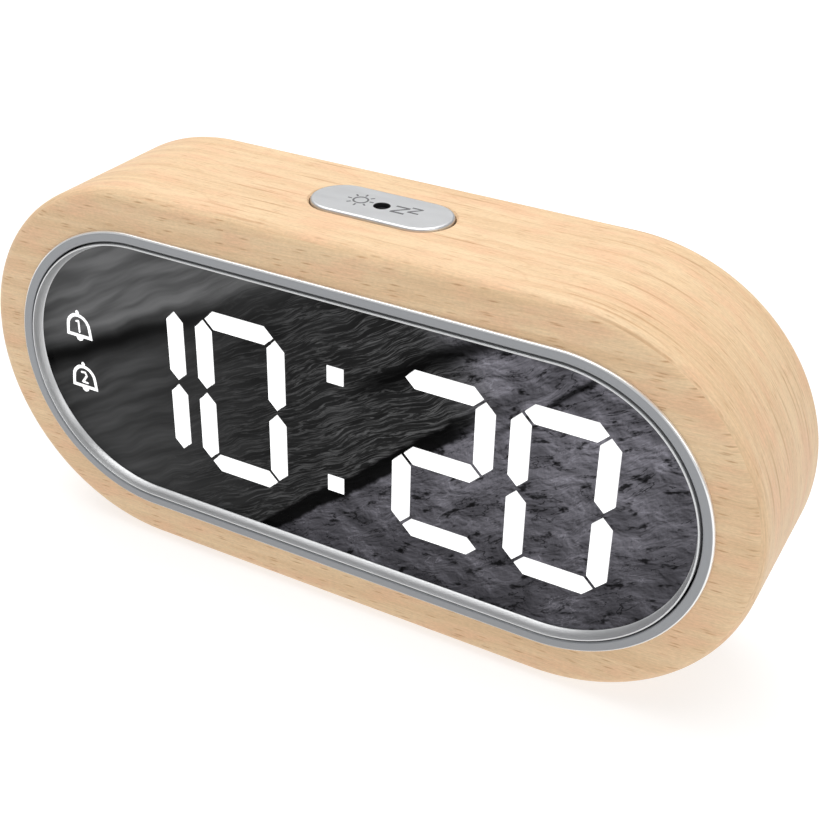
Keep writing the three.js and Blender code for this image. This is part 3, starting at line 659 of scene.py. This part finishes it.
def finished(name, mesh, body, replaces=(), material=None):
    """A mesh in clock metres becomes a piece of the clock."""
    mesh.transform(Matrix.Translation(origin))
    if material:
        mesh.materials.clear()
        mesh.materials.append(material)
    piece = bpy.data.objects.new(name, smooth_shaded(mesh))
    scene.collection.objects.link(piece)
    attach(piece, body)
    if replaces:
        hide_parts(*replaces)
    return piece


def swept(name, section, material, steps=40):
    """Sweeps a section of (radius, depth) points in millimetres round the capsule outline."""
    inner = min(radius for radius, depth in section)
    curve = bpy.data.curves.new(name, "CURVE")
    curve.dimensions = "3D"
    spline = curve.splines.new("POLY")
    spline.points.add(len(section) - 1)
    for point, (radius, depth) in zip(spline.points, section):
        point.co = ((radius - inner) * MM, depth * MM, 0, 1)
    spline.use_cyclic_u = True
    values = {"Half Length": straight * MM, "Radius": inner * MM, "Steps": steps, "Material": material}
    return outward(run_tree(name, curve, sweep_tree, values))


def arc(centre, radius, start, end, steps=7):
    """Points on an arc of a section, both ends included, angles in degrees."""
    angles = [math.radians(start + (end - start) * i / steps) for i in range(steps + 1)]
    return [(centre[0] + radius * math.cos(a), centre[1] + radius * math.sin(a)) for a in angles]


# %% [markdown]
# ## The beech case
# The case is one block, hollowed from the back, with a 2.6 mm round on its outer edges that catches the
# light as a soft line. It is swept from its section, and then booleans cut the slot for the snooze bar,
# whose rim is broken by a small chamfer, and four pockets for the feet. A point is added just beside each
# end of a round, so that the flat faces stay flat when the shading is smoothed.


# %% Cutters and booleans
def pill(length, width, offset=0.0, steps=24):
    """Points of a rectangle with round ends, counter-clockwise, grown by offset."""
    radius = width / 2 + offset
    half = (length - width) / 2
    right = [(half + x, y) for x, y in arc((0, 0), radius, -90, 90, steps)]
    left = [(x - half, y) for x, y in arc((0, 0), radius, 90, 270, steps)]
    return right + left


def ring_stack(rings, name):
    """A closed solid through a stack of equal-length rings of (x, y, z) points in millimetres."""
    shape = bmesh.new()
    loops = [[shape.verts.new(Vector(point) * MM) for point in ring] for ring in rings]
    for lower, upper in zip(loops, loops[1:]):
        for i in range(len(lower)):
            j = (i + 1) % len(lower)
            shape.faces.new((lower[i], lower[j], upper[j], upper[i]))
    shape.faces.new(loops[0][::-1])
    shape.faces.new(loops[-1])
    bmesh.ops.recalc_face_normals(shape, faces=shape.faces)
    mesh = bpy.data.meshes.new(name)
    shape.to_mesh(mesh)
    shape.free()
    return mesh


def cut(mesh, cutters):
    """The mesh with each cutter mesh taken away."""
    base = bpy.data.objects.new("base", mesh)
    scene.collection.objects.link(base)
    tools = []
    for cutter in cutters:
        tool = bpy.data.objects.new("cutter", cutter)
        scene.collection.objects.link(tool)
        tools.append(tool)
        modifier = base.modifiers.new("cut", "BOOLEAN")
        modifier.operation = "DIFFERENCE"
        modifier.solver = "EXACT"
        modifier.object = tool
    evaluated = base.evaluated_get(bpy.context.evaluated_depsgraph_get())
    result = bpy.data.meshes.new_from_object(evaluated)
    for spent in (base, *tools):
        bpy.data.objects.remove(spent)
    return result


def upright_pill(length, width, middle_y, levels):
    """A pill standing along z: levels are (offset, z) pairs from the bottom up."""
    return ring_stack(
        [[(x, middle_y + y, z) for x, y in pill(length, width, offset)] for offset, z in levels],
        "pill",
    )


bar_low, bar_high = clock_box("snooze_plate")
bar_length, bar_width = bar_high.x - bar_low.x, bar_high.y - bar_low.y
bar_y = (bar_low.y + bar_high.y) / 2
foot_nodes = [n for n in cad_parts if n.startswith("foot_")]
foot_radius = (clock_box("foot_1")[1].x - clock_box("foot_1")[0].x) / 2
gap_round = 0.3
edge_round = 2.6
lip_radius, cavity_radius, rebate_radius = 30.3, 33.0, 34.6
lip_depth, cover_seat = 9.2, 33.0
beside_round = 0.12


def case_mesh():
    corner = end_radius - edge_round
    section = [
        (lip_radius, 0.0),
        (corner - beside_round, 0.0),
        *arc((corner, edge_round), edge_round, -90, 0),
        (end_radius, edge_round + beside_round),
        (end_radius, case_depth - edge_round - beside_round),
        *arc((corner, case_depth - edge_round), edge_round, 0, 90),
        (corner - beside_round, case_depth),
        (rebate_radius + 0.2, case_depth),
        (rebate_radius, case_depth - 0.2),
        (rebate_radius, cover_seat),
        (cavity_radius, cover_seat),
        (cavity_radius, lip_depth),
        (lip_radius, lip_depth),
    ]
    slot_levels = [
        (gap_round, end_radius - 9),
        (gap_round, end_radius - 0.35),
        (gap_round + 0.5, end_radius + 0.15),
        (gap_round + 0.5, end_radius + 2),
    ]
    cutters = [upright_pill(bar_length, bar_width, bar_y, slot_levels)]
    pocket_levels = ((foot_radius + 0.6, -end_radius - 1), (foot_radius + gap_round, 1.2 - end_radius))
    for node in foot_nodes:
        middle = clock_middle(node)
        rings = [
            [(middle.x + x, middle.y + y, z) for x, y in arc((0, 0), radius, 0, 345, 23)]
            for radius, z in pocket_levels
        ]
        cutters.append(ring_stack(rings, "pocket"))
    return cut(swept("beech_case", section, wood, 56), cutters)


# %% [markdown]
# The grain needs its own coordinates, stored on face corners so that the front and the rim can differ
# where they meet. On the front and back, they are simply x and z. On the rim the first one is the distance
# walked along the outline, clockwise from the middle of the top, and the second is the depth.


# %% Grain coordinates
def walked(x, z, part):
    """Distance along the outline in millimetres, on the top, right end, bottom or left end."""
    if part == "top":
        return x
    if part == "bottom":
        return straight + math.pi * end_radius + (straight - x)
    side = 1 if part == "right" else -1
    angle = math.atan2(max(side * x - straight, 0), z)
    return side * (straight + end_radius * angle)


def add_grain(mesh):
    values = []
    tilt, rim_mark = 0.045, 1.0
    for face in mesh.polygons:
        flat = abs(face.normal.y) > 0.72
        middle = face.center / MM
        if abs(middle.x) <= straight:
            part = "top" if middle.z > 0 else "bottom"
        else:
            part = "right" if middle.x > 0 else "left"
        for index in face.loop_indices:
            x, y, z = mesh.vertices[mesh.loops[index].vertex_index].co / MM
            if flat:
                values += (x + z * tilt, z - x * tilt, 0.0 if middle.y < case_depth / 2 else 7.0)
            else:
                values += (walked(x, z, part), y + end_radius * 2, rim_mark)
    grain = mesh.attributes.new("grain", "FLOAT_VECTOR", "CORNER")
    grain.data.foreach_set("vector", values)


shell = case_mesh()
add_grain(shell)
finished("beech_case", shell, "clock", ["wood_case"])
print("case:", len(shell.polygons), "faces")

# %% [markdown]
# ## Bezel ring and liner
# The bezel is a flat satin band that stands 0.75 mm proud of the wood, with a bright cut edge that flashes
# white under the overhead panel. Its inner edge is rounded. Behind a hairline gap comes the liner, a
# silver funnel that leads down to the lens. The funnel's brim stands forward of the gap, so from above the
# gap reads as a fine black line along the top and hides at the bottom.


# %% Bezel ring and liner
bezel_low, bezel_high = clock_box("bezel_ring")
bezel_outer = bezel_high.z
bezel_front = bezel_low.y
bezel_inner = 29.4
nose = 0.55
inner_edge = 0.45


def bezel_mesh():
    section = [
        *arc((bezel_inner + inner_edge, bezel_front + inner_edge), inner_edge, 180, 270),
        (bezel_inner + inner_edge + 0.05, bezel_front),
        (bezel_outer - nose - 0.05, bezel_front),
        *arc((bezel_outer - nose, bezel_front + nose), nose, -90, 0),
        (bezel_outer, -0.03),
        (lip_radius - 0.2, -0.03),
        (lip_radius - 0.2, bezel_high.y),
        (bezel_inner, bezel_high.y),
    ]
    return swept("bezel_band", section, bezel_metal, 56)


def liner_mesh():
    low, high = clock_box("bezel_liner")
    outer = high.z
    lip = 28.05
    brim = 0.22
    start = (outer - 1.9 * brim, low.y + 1.1 * brim)
    end = (lip + 0.1, high.y - 0.12)
    steps = 8
    funnel = []
    for i in range(1, steps):
        t = i / steps
        bow = 0.1 * math.sin(math.pi * t)
        funnel.append((start[0] + (end[0] - start[0]) * t + bow, start[1] + (end[1] - start[1]) * t))
    section = [
        (outer, high.y),
        *arc((outer - brim, low.y + brim), brim, 0, -120),
        *funnel,
        end,
        (lip, high.y),
    ]
    mesh = swept("liner_funnel", section, liner_metal, 56)
    mesh.transform(Matrix.Translation(Vector((-0.1, 0, -0.13)) * MM))
    return mesh


finished("bezel_band", bezel_mesh(), "clock", ["bezel_ring"])
finished("liner_funnel", liner_mesh(), "clock", ["bezel_liner"])
print("bezel and liner: proud", round(-bezel_front, 2), "mm")

# %% [markdown]
# ## Pierced plates
# The snooze bar, the rear cover, the battery door and the keys are all plates with soft edges and holes.
# A plate is built from loops: each loop, outer or hole, is a function of how far it is offset, so its edge
# round is a stack of offset copies, and the two faces between the loops are filled with triangles. That
# gives every hole a true rounded rim, which a plain extrusion doesn't have.


# %% Plate builder
def soft_edge(radius, steps=4):
    """Inset and depth of an edge round, from the flat face down."""
    turn = [math.pi / 2 * i / steps for i in range(steps + 1)]
    rounded = [(radius * (1 - math.sin(a)), radius * (1 - math.cos(a))) for a in turn]
    return [(radius + 0.06, 0.0), *rounded]


def pierced_plate(name, outer, holes, top, bottom):
    """A plate in x and y between two levels. outer and each hole are (loop function, edge) pairs."""
    shape = bmesh.new()
    rims = []
    for way, (loop, edge) in [(-1, outer), *[(1, hole) for hole in holes]]:
        levels = [(inset, top - depth) for inset, depth in edge] + [(0.0, bottom)]
        rings = []
        for inset, level in levels:
            ring = [shape.verts.new(Vector((x, y, level)) * MM) for x, y in loop(way * inset)]
            rings.append(ring)
        for upper, lower in zip(rings, rings[1:]):
            for i in range(len(upper)):
                j = (i + 1) % len(upper)
                shape.faces.new((upper[i], upper[j], lower[j], lower[i]))
        rims.append((rings[0], rings[-1]))
    for side in (0, 1):
        flat = [vert for rim in rims for vert in rim[side]]
        for corners in tessellate_polygon([[vert.co for vert in rim[side]] for rim in rims]):
            shape.faces.new([flat[i] for i in corners])
    bmesh.ops.recalc_face_normals(shape, faces=shape.faces)
    mesh = bpy.data.meshes.new(name)
    shape.to_mesh(mesh)
    shape.free()
    return mesh


def pill_loop(length, width, middle=(0, 0), steps=16):
    return lambda offset: [(middle[0] + x, middle[1] + y) for x, y in pill(length, width, offset, steps)]


def circle_loop(radius, middle=(0, 0), steps=48):
    end = 360 - 360 / steps
    return lambda offset: arc(middle, radius + offset, 0, end, steps - 1)


def rectangle_loop(width, height, radius, middle=(0, 0), steps=6):
    def loop(offset):
        points = []
        for quarter, (sx, sy) in enumerate(SQUARE):
            centre = (middle[0] + sx * (width / 2 - radius), middle[1] + sy * (height / 2 - radius))
            points += arc(centre, max(radius + offset, 0.01), quarter * 90, quarter * 90 + 90, steps)
        return points
    return loop


def facing_back(mesh):
    """Turns a plate made in x and y, seen from +z, so that it is seen from the back, with y as height."""
    mesh.transform(Matrix(((1, 0, 0, 0), (0, 0, 1, 0), (0, 1, 0, 0), (0, 0, 0, 1))))
    mesh.flip_normals()
    return mesh


# %% Snooze bar
print_height = 0.02
bar_top = bar_high.z - print_height


def snooze_bar():
    hole_edge = [(0.16, 0.0), (0.12, 0.0), (0.08, 0.02), (0.0, 0.1)]
    plate = pierced_plate(
        "snooze_bar",
        (pill_loop(bar_length, bar_width, steps=32), soft_edge(0.5, 6)),
        [(circle_loop(hole_radius), hole_edge)],
        bar_top,
        bar_low.z,
    )
    plate.transform(Matrix.Translation((0, bar_y * MM, 0)))
    return plate


bar = snooze_bar()
finished("snooze_bar_plate", bar, "snooze_bar", ["snooze_plate"], bar_metal)
slots_take("snooze_carrier", inner_plastic)
print("snooze bar:", round(bar_length, 1), "by", round(bar_width, 1), "mm")

# %% [markdown]
# Two marks are printed beside the hole: a small sun for the light and two letters Z for the snooze. Each
# is a set of outlines, extruded to a film 0.02 mm thick that lies on the metal.


# %% Printed marks
def joined(name, meshes):
    shape = bmesh.new()
    for part in meshes:
        shape.from_mesh(part)
    mesh = bpy.data.meshes.new(name)
    shape.to_mesh(mesh)
    shape.free()
    return mesh


def film(name, outlines, bottom, top):
    """Thin flat shapes in x and y, one closed body for each outline."""
    rings = [[[(*point, z) for point in points] for z in (bottom, top)] for points in outlines]
    return joined(name, [ring_stack(pair, name) for pair in rings])


def flat_ring(name, outer, inner, middle, top, bottom):
    """A flat ring with square edges."""
    rim, hole = [(circle_loop(radius, middle), [(0, 0)]) for radius in (outer, inner)]
    return pierced_plate(name, rim, [hole], top, bottom)


def letter_z(x, y, width, height, stroke):
    w, h = width / 2, height / 2
    slant = stroke * 1.25
    corners = [(-w, h), (w, h), (w, h - stroke), (slant - w, stroke - h), (w, stroke - h), (w, -h)]
    corners += [(-w, -h), (-w, stroke - h), (w - slant, h - stroke), (-w, h - stroke)]
    return [(x + dx, y + dy) for dx, dy in corners[::-1]]


def sun_rays(x, y, inner, outer, width, count=8):
    rays = []
    for i in range(count):
        turn = Matrix.Rotation(2 * math.pi * i / count, 2)
        corners = [(inner, -width / 2), (outer, -width / 2), (outer, width / 2), (inner, width / 2)]
        rays.append([tuple(Vector((x, y)) + turn @ Vector(corner)) for corner in corners])
    return rays


def bar_marks():
    sun = (-4.8, 0.4)
    ring = flat_ring("sun_ring", 1.6, 1.22, sun, bar_high.z, bar_top - 0.01)
    outlines = sun_rays(*sun, 1.95, 2.8, 0.36)
    outlines += [letter_z(3.9, 0, 2.9, 3.2, 0.5), letter_z(6.6, 1.0, 2.3, 2.6, 0.44)]
    mesh = joined("bar_marks", [ring, film("rays", outlines, bar_top - 0.01, bar_high.z)])
    mesh.transform(Matrix.Translation((0, bar_y * MM, 0)))
    return mesh


finished("snooze_bar_marks", bar_marks(), "snooze_bar", material=print_ink)
print("marks printed on the snooze bar")

# %% [markdown]
# ## The back
# The back isn't in the view, so it is a typical one: a black cover set into a rebate, five keys, a battery
# door, two sockets, slots over the speaker and four screws. Cover and door are pierced plates. Their
# openings get the clearances of the CAD model, and their rims a small round that catches the light.

# %% Rear cover
cover_back = clock_box("rear_cover")[1].y
cover_radius = clock_box("rear_cover")[1].z
cover_inside = cover_seat + 0.1
key_names = ("set", "alarm_1", "alarm_2", "up", "down")
key_middles = [clock_middle("key_" + name) for name in key_names]
key_length, key_width = 9.0, 5.0
door_low, door_high = clock_box("battery_door")
hinge_radius, pin_radius = 0.95, 0.5
hinge_z = door_low.z + hinge_radius
door_left, door_right = door_low.x + 1.2, door_high.x - 1.2
opening_gap = 0.3
usb_middle, jack_middle = clock_middle("usb_outlet"), clock_middle("dc_jack")
speaker_middle = clock_middle("speaker")
screw_nodes = [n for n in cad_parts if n.startswith("cover_screw_")]
slot_reach, slot_pitch, slot_width = 12.5, 3.4, 1.5


def speaker_slots():
    loops = []
    for i in range(-3, 4):
        length = 2 * math.sqrt(slot_reach**2 - (i * slot_pitch) ** 2) + slot_width
        middle = (speaker_middle.x, speaker_middle.z + i * slot_pitch)
        loops.append((pill_loop(length, slot_width, middle, 8), soft_edge(0.25, 3)))
    return loops


def rear_cover():
    width = door_right - door_left + 2 * opening_gap
    height = door_high.z - door_low.z + 2 * opening_gap
    door_middle = ((door_left + door_right) / 2, (door_low.z + door_high.z) / 2)
    screw_edge = [(1.7, 0.0), (1.6, 0.02), (0.0, 1.6)]
    holes = [
        (rectangle_loop(width, height, 0.6, door_middle), soft_edge(0.2)),
        (rectangle_loop(13.7, 6.3, 0.6, (usb_middle.x, jack_middle.z)), soft_edge(0.2)),
        (circle_loop(4.2, (jack_middle.x, jack_middle.z)), soft_edge(0.2)),
        *speaker_slots(),
    ]
    for middle in key_middles:
        loop = pill_loop(key_length + 0.6, key_width + 0.6, (middle.x, middle.z))
        holes.append((loop, soft_edge(0.2)))
    for node in screw_nodes:
        middle = clock_middle(node)
        holes.append((circle_loop(1.75, (middle.x, middle.z)), screw_edge))
    outer = pill_loop(2 * (straight + cover_radius), 2 * cover_radius, steps=48)
    plate = pierced_plate("rear_cover", (outer, soft_edge(0.45)), holes, cover_back, cover_inside)
    print("rear cover:", len(holes), "openings, with the battery door's")
    notch = pierced_plate(
        "hinge_notch",
        (rectangle_loop(width + 2.8, 1.8, 0.1, (door_middle[0], hinge_z)), [(0, 0)]),
        [],
        cover_back - 0.3,
        cover_inside - 1,
    )
    scoop = ring_stack(
        [
            [(x, y, z) for x, y in arc((door_middle[0], door_high.z - 2.7), radius, 0, 350, 35)]
            for radius, z in ((4.6, 34.0), (5.6, 34.3), (6.0, 34.9), (6.0, 37))
        ],
        "scoop",
    )
    return facing_back(cut(plate, [notch, scoop]))


finished("back_cover", rear_cover(), "clock", ["rear_cover"], cover_plastic)

# %% [markdown]
# The battery door turns on a round edge with a pin at each end. The grip is a rib repeated by the grid
# tree, and so are the screws, which all share one cross-headed piece.


# %% Battery door
def turned(profile, steps=48):
    """A solid of revolution about z through (radius, level) points in millimetres."""
    end = 360 - 360 / steps
    rings = [
        [(x, y, level) for x, y in arc((0, 0), radius, 0, end, steps - 1)] for radius, level in profile
    ]
    return ring_stack(rings, "turned")


def along_x(mesh, y, z):
    """Lays a turned piece along x, in clock coordinates."""
    mesh.transform(Matrix.Translation(Vector((0, y, z)) * MM) @ Matrix.Rotation(math.pi / 2, 4, "Y"))
    return mesh


def battery_door():
    width = door_right - door_left
    height = door_high.z - hinge_z
    middle = ((door_left + door_right) / 2, hinge_z + height / 2)
    outline = (rectangle_loop(width, height, 0.4, middle), soft_edge(0.2))
    leaf = pierced_plate("leaf", outline, [], cover_back, cover_back - 2 * hinge_radius)

    def rod(radius, left, right, steps):
        """A round rod along the hinge's axis, with its ends chamfered."""
        ends = [(radius - 0.1, left), (radius, left + 0.1), (radius, right - 0.1), (radius - 0.1, right)]
        return along_x(turned(ends, steps), cover_back - hinge_radius, hinge_z)

    barrel = rod(hinge_radius, door_left, door_right, 48)
    pin = rod(pin_radius, door_low.x, door_high.x, 24)
    return joined("battery_door", [facing_back(leaf), barrel, pin])


def grid_copies(name, piece, columns, rows, width, depth, material):
    """Copies of a piece on a grid in x and y, whose sides are in millimetres."""
    values = {"Columns": columns, "Rows": rows, "Width": width * MM, "Depth": depth * MM}
    return run_tree(name, piece, grid_tree, values | {"Material": material})


def on_grid(name, piece, columns, rows, width, depth, material, place):
    """Copies of a piece on a grid that faces the back, its middle at place (x, z) in millimetres."""
    mesh = facing_back(grid_copies(name, piece, columns, rows, width, depth, material))
    mesh.transform(Matrix.Translation(Vector((place[0], 0, place[1])) * MM))
    return mesh


door_x = (door_left + door_right) / 2
rib_outline = (pill_loop(12, 0.8, steps=6), soft_edge(0.3))
rib = pierced_plate("rib", rib_outline, [], cover_back + 0.35, cover_back - 0.2)
ribs = on_grid("door_ribs", rib, 1, 4, 0, 4.8, cover_plastic, (door_x, door_high.z - 6.7))
finished("battery_door_leaf", battery_door(), "door", ["battery_door"], cover_plastic)
finished("battery_door_ribs", ribs, "door")


# %% Screws and feet
def screw():
    head = 35.25
    profile = [(1.3, 30), (1.3, 33.75), (2.9, head - 0.15), (2.9, head - 0.05), (2.8, head)]
    arms = []
    for length, width in ((3.6, 0.7), (0.7, 3.6)):
        taper = 0.12
        rings = [
            [(sx * (length / 2 + grow), sy * (width / 2 + grow), z) for sx, sy in SQUARE]
            for grow, z in ((-taper, head - 1), (0, head + 0.5))
        ]
        arms.append(ring_stack(rings, "arm"))
    return cut(turned(profile), arms)


screw_middle = clock_middle("cover_screw_1")
apart = (2 * abs(screw_middle.x), 2 * abs(screw_middle.z))
screws = on_grid("cover_screws", screw(), 2, 2, *apart, spring_metal, (0, 0))
finished("cover_screws", screws, "clock", screw_nodes)

foot_low, foot_high = clock_box("foot_1")
foot_middle = clock_middle("foot_1")
foot_profile = [
    (foot_radius - 1.2, foot_low.z + 0.25),
    (foot_radius - 1.0, foot_low.z + 0.02),
    *[(foot_radius - 0.8 + r, foot_low.z + 0.8 + level) for r, level in arc((0, 0), 0.8, -90, 0, 6)],
    (foot_radius, foot_high.z),
]
feet_y = [clock_middle(node).y for node in foot_nodes]
apart = (2 * abs(foot_middle.x), max(feet_y) - min(feet_y))
feet = grid_copies("feet", turned(foot_profile), 2, 2, *apart, foot_rubber)
feet.transform(Matrix.Translation((0, sum(feet_y) / len(feet_y) * MM, 0)))
finished("rubber_feet", feet, "clock", foot_nodes)
print("door, screws and feet made")

# %% [markdown]
# ## Keys and sockets
# A key is a stack of pills: a flange that keeps it behind the cover, a straight neck, a rounded edge, and
# a shallow dish for the fingertip. Above each key a mark is printed on the cover: a clock face, two bells
# for the two alarms, and arrows for up and down.


# %% Keys
def key_cap():
    top = clock_box("key_set")[1].y
    flange = cover_inside - 0.3
    levels = [(1.0, flange - 1.2), (1.0, flange), (0.0, flange)]
    levels += [(r - 0.5, top - 0.5 + level) for r, level in arc((0, 0), 0.5, 0, 90, 5)]
    levels += [(-0.8, top - 0.03), (-1.4, top - 0.12), (-2.0, top - 0.17)]
    rings = [
        [(x, y, level) for x, y in pill(key_length, key_width, offset, 12)] for offset, level in levels
    ]
    return facing_back(ring_stack(rings, "key"))


for name, middle in zip(key_names, key_middles):
    cap = key_cap()
    cap.transform(Matrix.Translation(Vector((middle.x, 0, middle.z)) * MM))
    finished(f"{name}_key", cap, f"button_{name}", ["key_" + name], key_plastic)

mark_z = key_middles[0].z + 5.7


def bell_outline(x, z):
    """A bell 2.4 mm high: a dome on a wider brim."""
    dome = [(x + dx, z + dz + 0.1) for dx, dz in arc((0, 0), 0.75, 0, 180, 12)]
    return dome + [(x - 0.75, z - 0.5), (x - 1.15, z - 0.95), (x + 1.15, z - 0.95), (x + 0.75, z - 0.5)]


def cover_marks():
    clock_x, first_x, second_x, up_x, down_x = [middle.x for middle in key_middles]
    face = (clock_x, mark_z)
    low, high = cover_back - print_height, cover_back + print_height
    ring = flat_ring("clock_ring", 1.15, 0.9, face, high, low)
    hands = [[(clock_x + a, mark_z + b) for a, b in hand] for hand in (
        [(-0.1, -0.1), (0.1, -0.1), (0.1, 0.7), (-0.1, 0.7)],
        [(-0.1, -0.1), (-0.1, 0.1), (-0.6, 0.1), (-0.6, -0.1)],
    )]
    dots = [arc((x, mark_z - 1.75), 0.22, 0, 330, 11) for x in (first_x, second_x - 0.4, second_x + 0.4)]
    arrows = [
        [(x - 0.95, mark_z - way * 0.6), (x + 0.95, mark_z - way * 0.6), (x, mark_z + way * 0.8)]
        for x, way in ((up_x, 1), (down_x, -1))
    ]
    outlines = hands + [bell_outline(first_x, mark_z), bell_outline(second_x, mark_z)] + dots + arrows
    return facing_back(joined("cover_marks", [ring, film("marks", outlines, low, high)]))


finished("cover_marks", outward(cover_marks()), "clock", material=white_ink)
print("keys:", ", ".join(key_names))


# %% USB outlet and power inlet
def usb_shell():
    middle = (usb_middle.x, jack_middle.z)
    front = cover_back - 0.1
    shell = pierced_plate(
        "shell",
        (rectangle_loop(13.1, 5.7, 0.5, middle), soft_edge(0.12, 3)),
        [(rectangle_loop(12.3, 4.9, 0.35, middle), soft_edge(0.12, 3))],
        front,
        22.5,
    )
    back = pierced_plate("back", (rectangle_loop(12.9, 5.5, 0.4, middle), [(0, 0)]), [], 22.4, 21.8)
    return facing_back(joined("usb_shell", [shell, back]))


def usb_tongue():
    middle = (usb_middle.x, jack_middle.z + 1.0)
    outline = (rectangle_loop(11, 1.7, 0.2, middle), soft_edge(0.2, 3))
    return facing_back(pierced_plate("tongue", outline, [], 33.4, 22.6))


contact_rings = [[(sx * 0.5, sy * 0.04, z) for sx, sy in SQUARE] for z in (25.0, 32.8)]
contact = ring_stack(contact_rings, "contact")
contact_place = (usb_middle.x, jack_middle.z + 0.12)
contacts = on_grid("usb_contacts", contact, 4, 1, 7.0, 0, nickel_metal, contact_place)
finished("usb_shell", usb_shell(), "clock", ["usb_outlet"], nickel_metal)
finished("usb_tongue", usb_tongue(), "clock", material=white_plastic)
finished("usb_contacts", contacts, "clock")


def power_inlet():
    """A block with a barrel that holds a bore and its pin."""
    front = cover_back - 0.1
    profile = [(3.9, 30), (3.9, front - 0.2), (3.7, front), (3.0, front), (2.85, front - 0.15), (2.85, 26)]
    profile += [(1.0, 26), (1.0, 33.9), (0.8, 34.2), (0.5, 34.3)]
    barrel = turned(profile)
    barrel.transform(Matrix.Translation(Vector((jack_middle.x, jack_middle.z, 0)) * MM))
    block_middle = (jack_middle.x, jack_middle.z)
    block = pierced_plate(
        "block",
        (rectangle_loop(9, 9, 0.3, block_middle), soft_edge(0.2, 3)),
        [(circle_loop(3.1, block_middle), [(0, 0)])],
        32.8,
        21.8,
    )
    return facing_back(joined("power_inlet", [barrel, block]))


finished("power_inlet", power_inlet(), "clock", ["dc_jack"], jack_plastic)
print("sockets at x", round(usb_middle.x, 1), "and", round(jack_middle.x, 1), "mm")

# %% [markdown]
# ## The batteries
# Behind the door lie three slim cells, in plain blue sleeves with a pale grey band at the positive end.


# %% Cells
def cell_sleeve():
    f = Finish("cell_sleeve")
    x = f.split(f.mm)[0]
    low, high = clock_box("battery_cell_1")
    band = f.step(x, high.x - 10.2, high.x - 10.0)
    metal = f.step(x, high.x - 1.25, high.x - 1.2).math("MAXIMUM", 1 - f.step(x, low.x + 0.05, low.x + 0.1))
    film_grain = f.noise(f.scaled(f.mm, (4, 4, 4)), 3, 0.6)
    wrap = f.mix(band, (0.025, 0.11, 0.34), (0.5, 0.51, 0.52))
    color = f.mix(metal, wrap, (0.6, 0.58, 0.54))
    return f.set(
        Base_Color=f.shade(color, 0.92 + film_grain * 0.16),
        Metallic=f.mix_number(metal, 0.15, 1.0),
        Roughness=0.26 + film_grain * 0.1,
    )


def cell():
    low, high = clock_box("battery_cell_1")
    radius = (high.y - low.y) / 2
    half = (high.x - low.x) / 2
    profile = [(radius - 1.4, -half), (radius - 0.6, -half)]
    profile += [(r, level - half) for r, level in arc((radius - 0.4, 0.4), 0.4, -90, 0, 4)]
    profile += [(r, half + level) for r, level in arc((radius - 0.5, -1.4), 0.5, 0, 90, 4)]
    profile += [(radius - 1.1, half - 0.9), (radius - 1.2, half - 1.0)]
    profile += [(1.95, half - 1.0), (1.9, half - 0.15), (1.75, half)]
    solid = turned(profile)
    solid.transform(Matrix.Rotation(math.pi / 2, 4, "Y"))
    return solid


cell_nodes = [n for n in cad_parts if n.startswith("battery_cell_")]
cell_middles = [clock_middle(node) for node in cell_nodes]
cells_tall = max(m.z for m in cell_middles) - min(m.z for m in cell_middles)
cells = grid_copies("battery_cells", cell(), 1, 3, 0, cells_tall, cell_sleeve())
cells.transform(Matrix.Rotation(math.pi / 2, 4, "X"))
cells.transform(Matrix.Translation(sum(cell_middles, Vector()) / 3 * MM))
finished("battery_cells", cells, "clock", cell_nodes)
print("cells:", len(cell_nodes))

# %% Give the other CAD nodes their materials
for names, material in (
    (("display_reflector",), white_plastic),
    (("display_board", "main_board", "snooze_board"), board_green),
    (("inner_frame",), inner_plastic),
    (("snooze_spring_left", "snooze_spring_right"), spring_metal),
    (("snooze_switch", "control_chip"), switch_plastic),
    (("light_sensor", "light_pipe"), smoked_plastic),
    (("ribbon_cable",), ribbon_grey),
    (("speaker",), nickel_metal),
    (("speaker_cone",), cone_paper),
    (("battery_tray",), inner_plastic),
):
    for node in names:
        slots_take(node, material)
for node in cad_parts:
    if node.startswith("key_switch"):
        slots_take(node, switch_plastic)
    elif node.startswith("contact_"):
        slots_take(node, nickel_metal)

# %% Floor finish
floor_finish = Finish("floor_pale")
tone = floor_finish.noise(floor_finish.scaled(floor_finish.mm, (160, 160, 160)), 2, 0.5)
floor_mesh.materials.append(floor_finish.set(
    Base_Color=floor_finish.mix(tone, (0.40, 0.40, 0.40), (0.44, 0.44, 0.44)),
    Roughness=0.7,
    Specular_IOR_Level=0.1,
    Emission_Color=(1, 1, 1, 1),
    Emission_Strength=0.66,
))
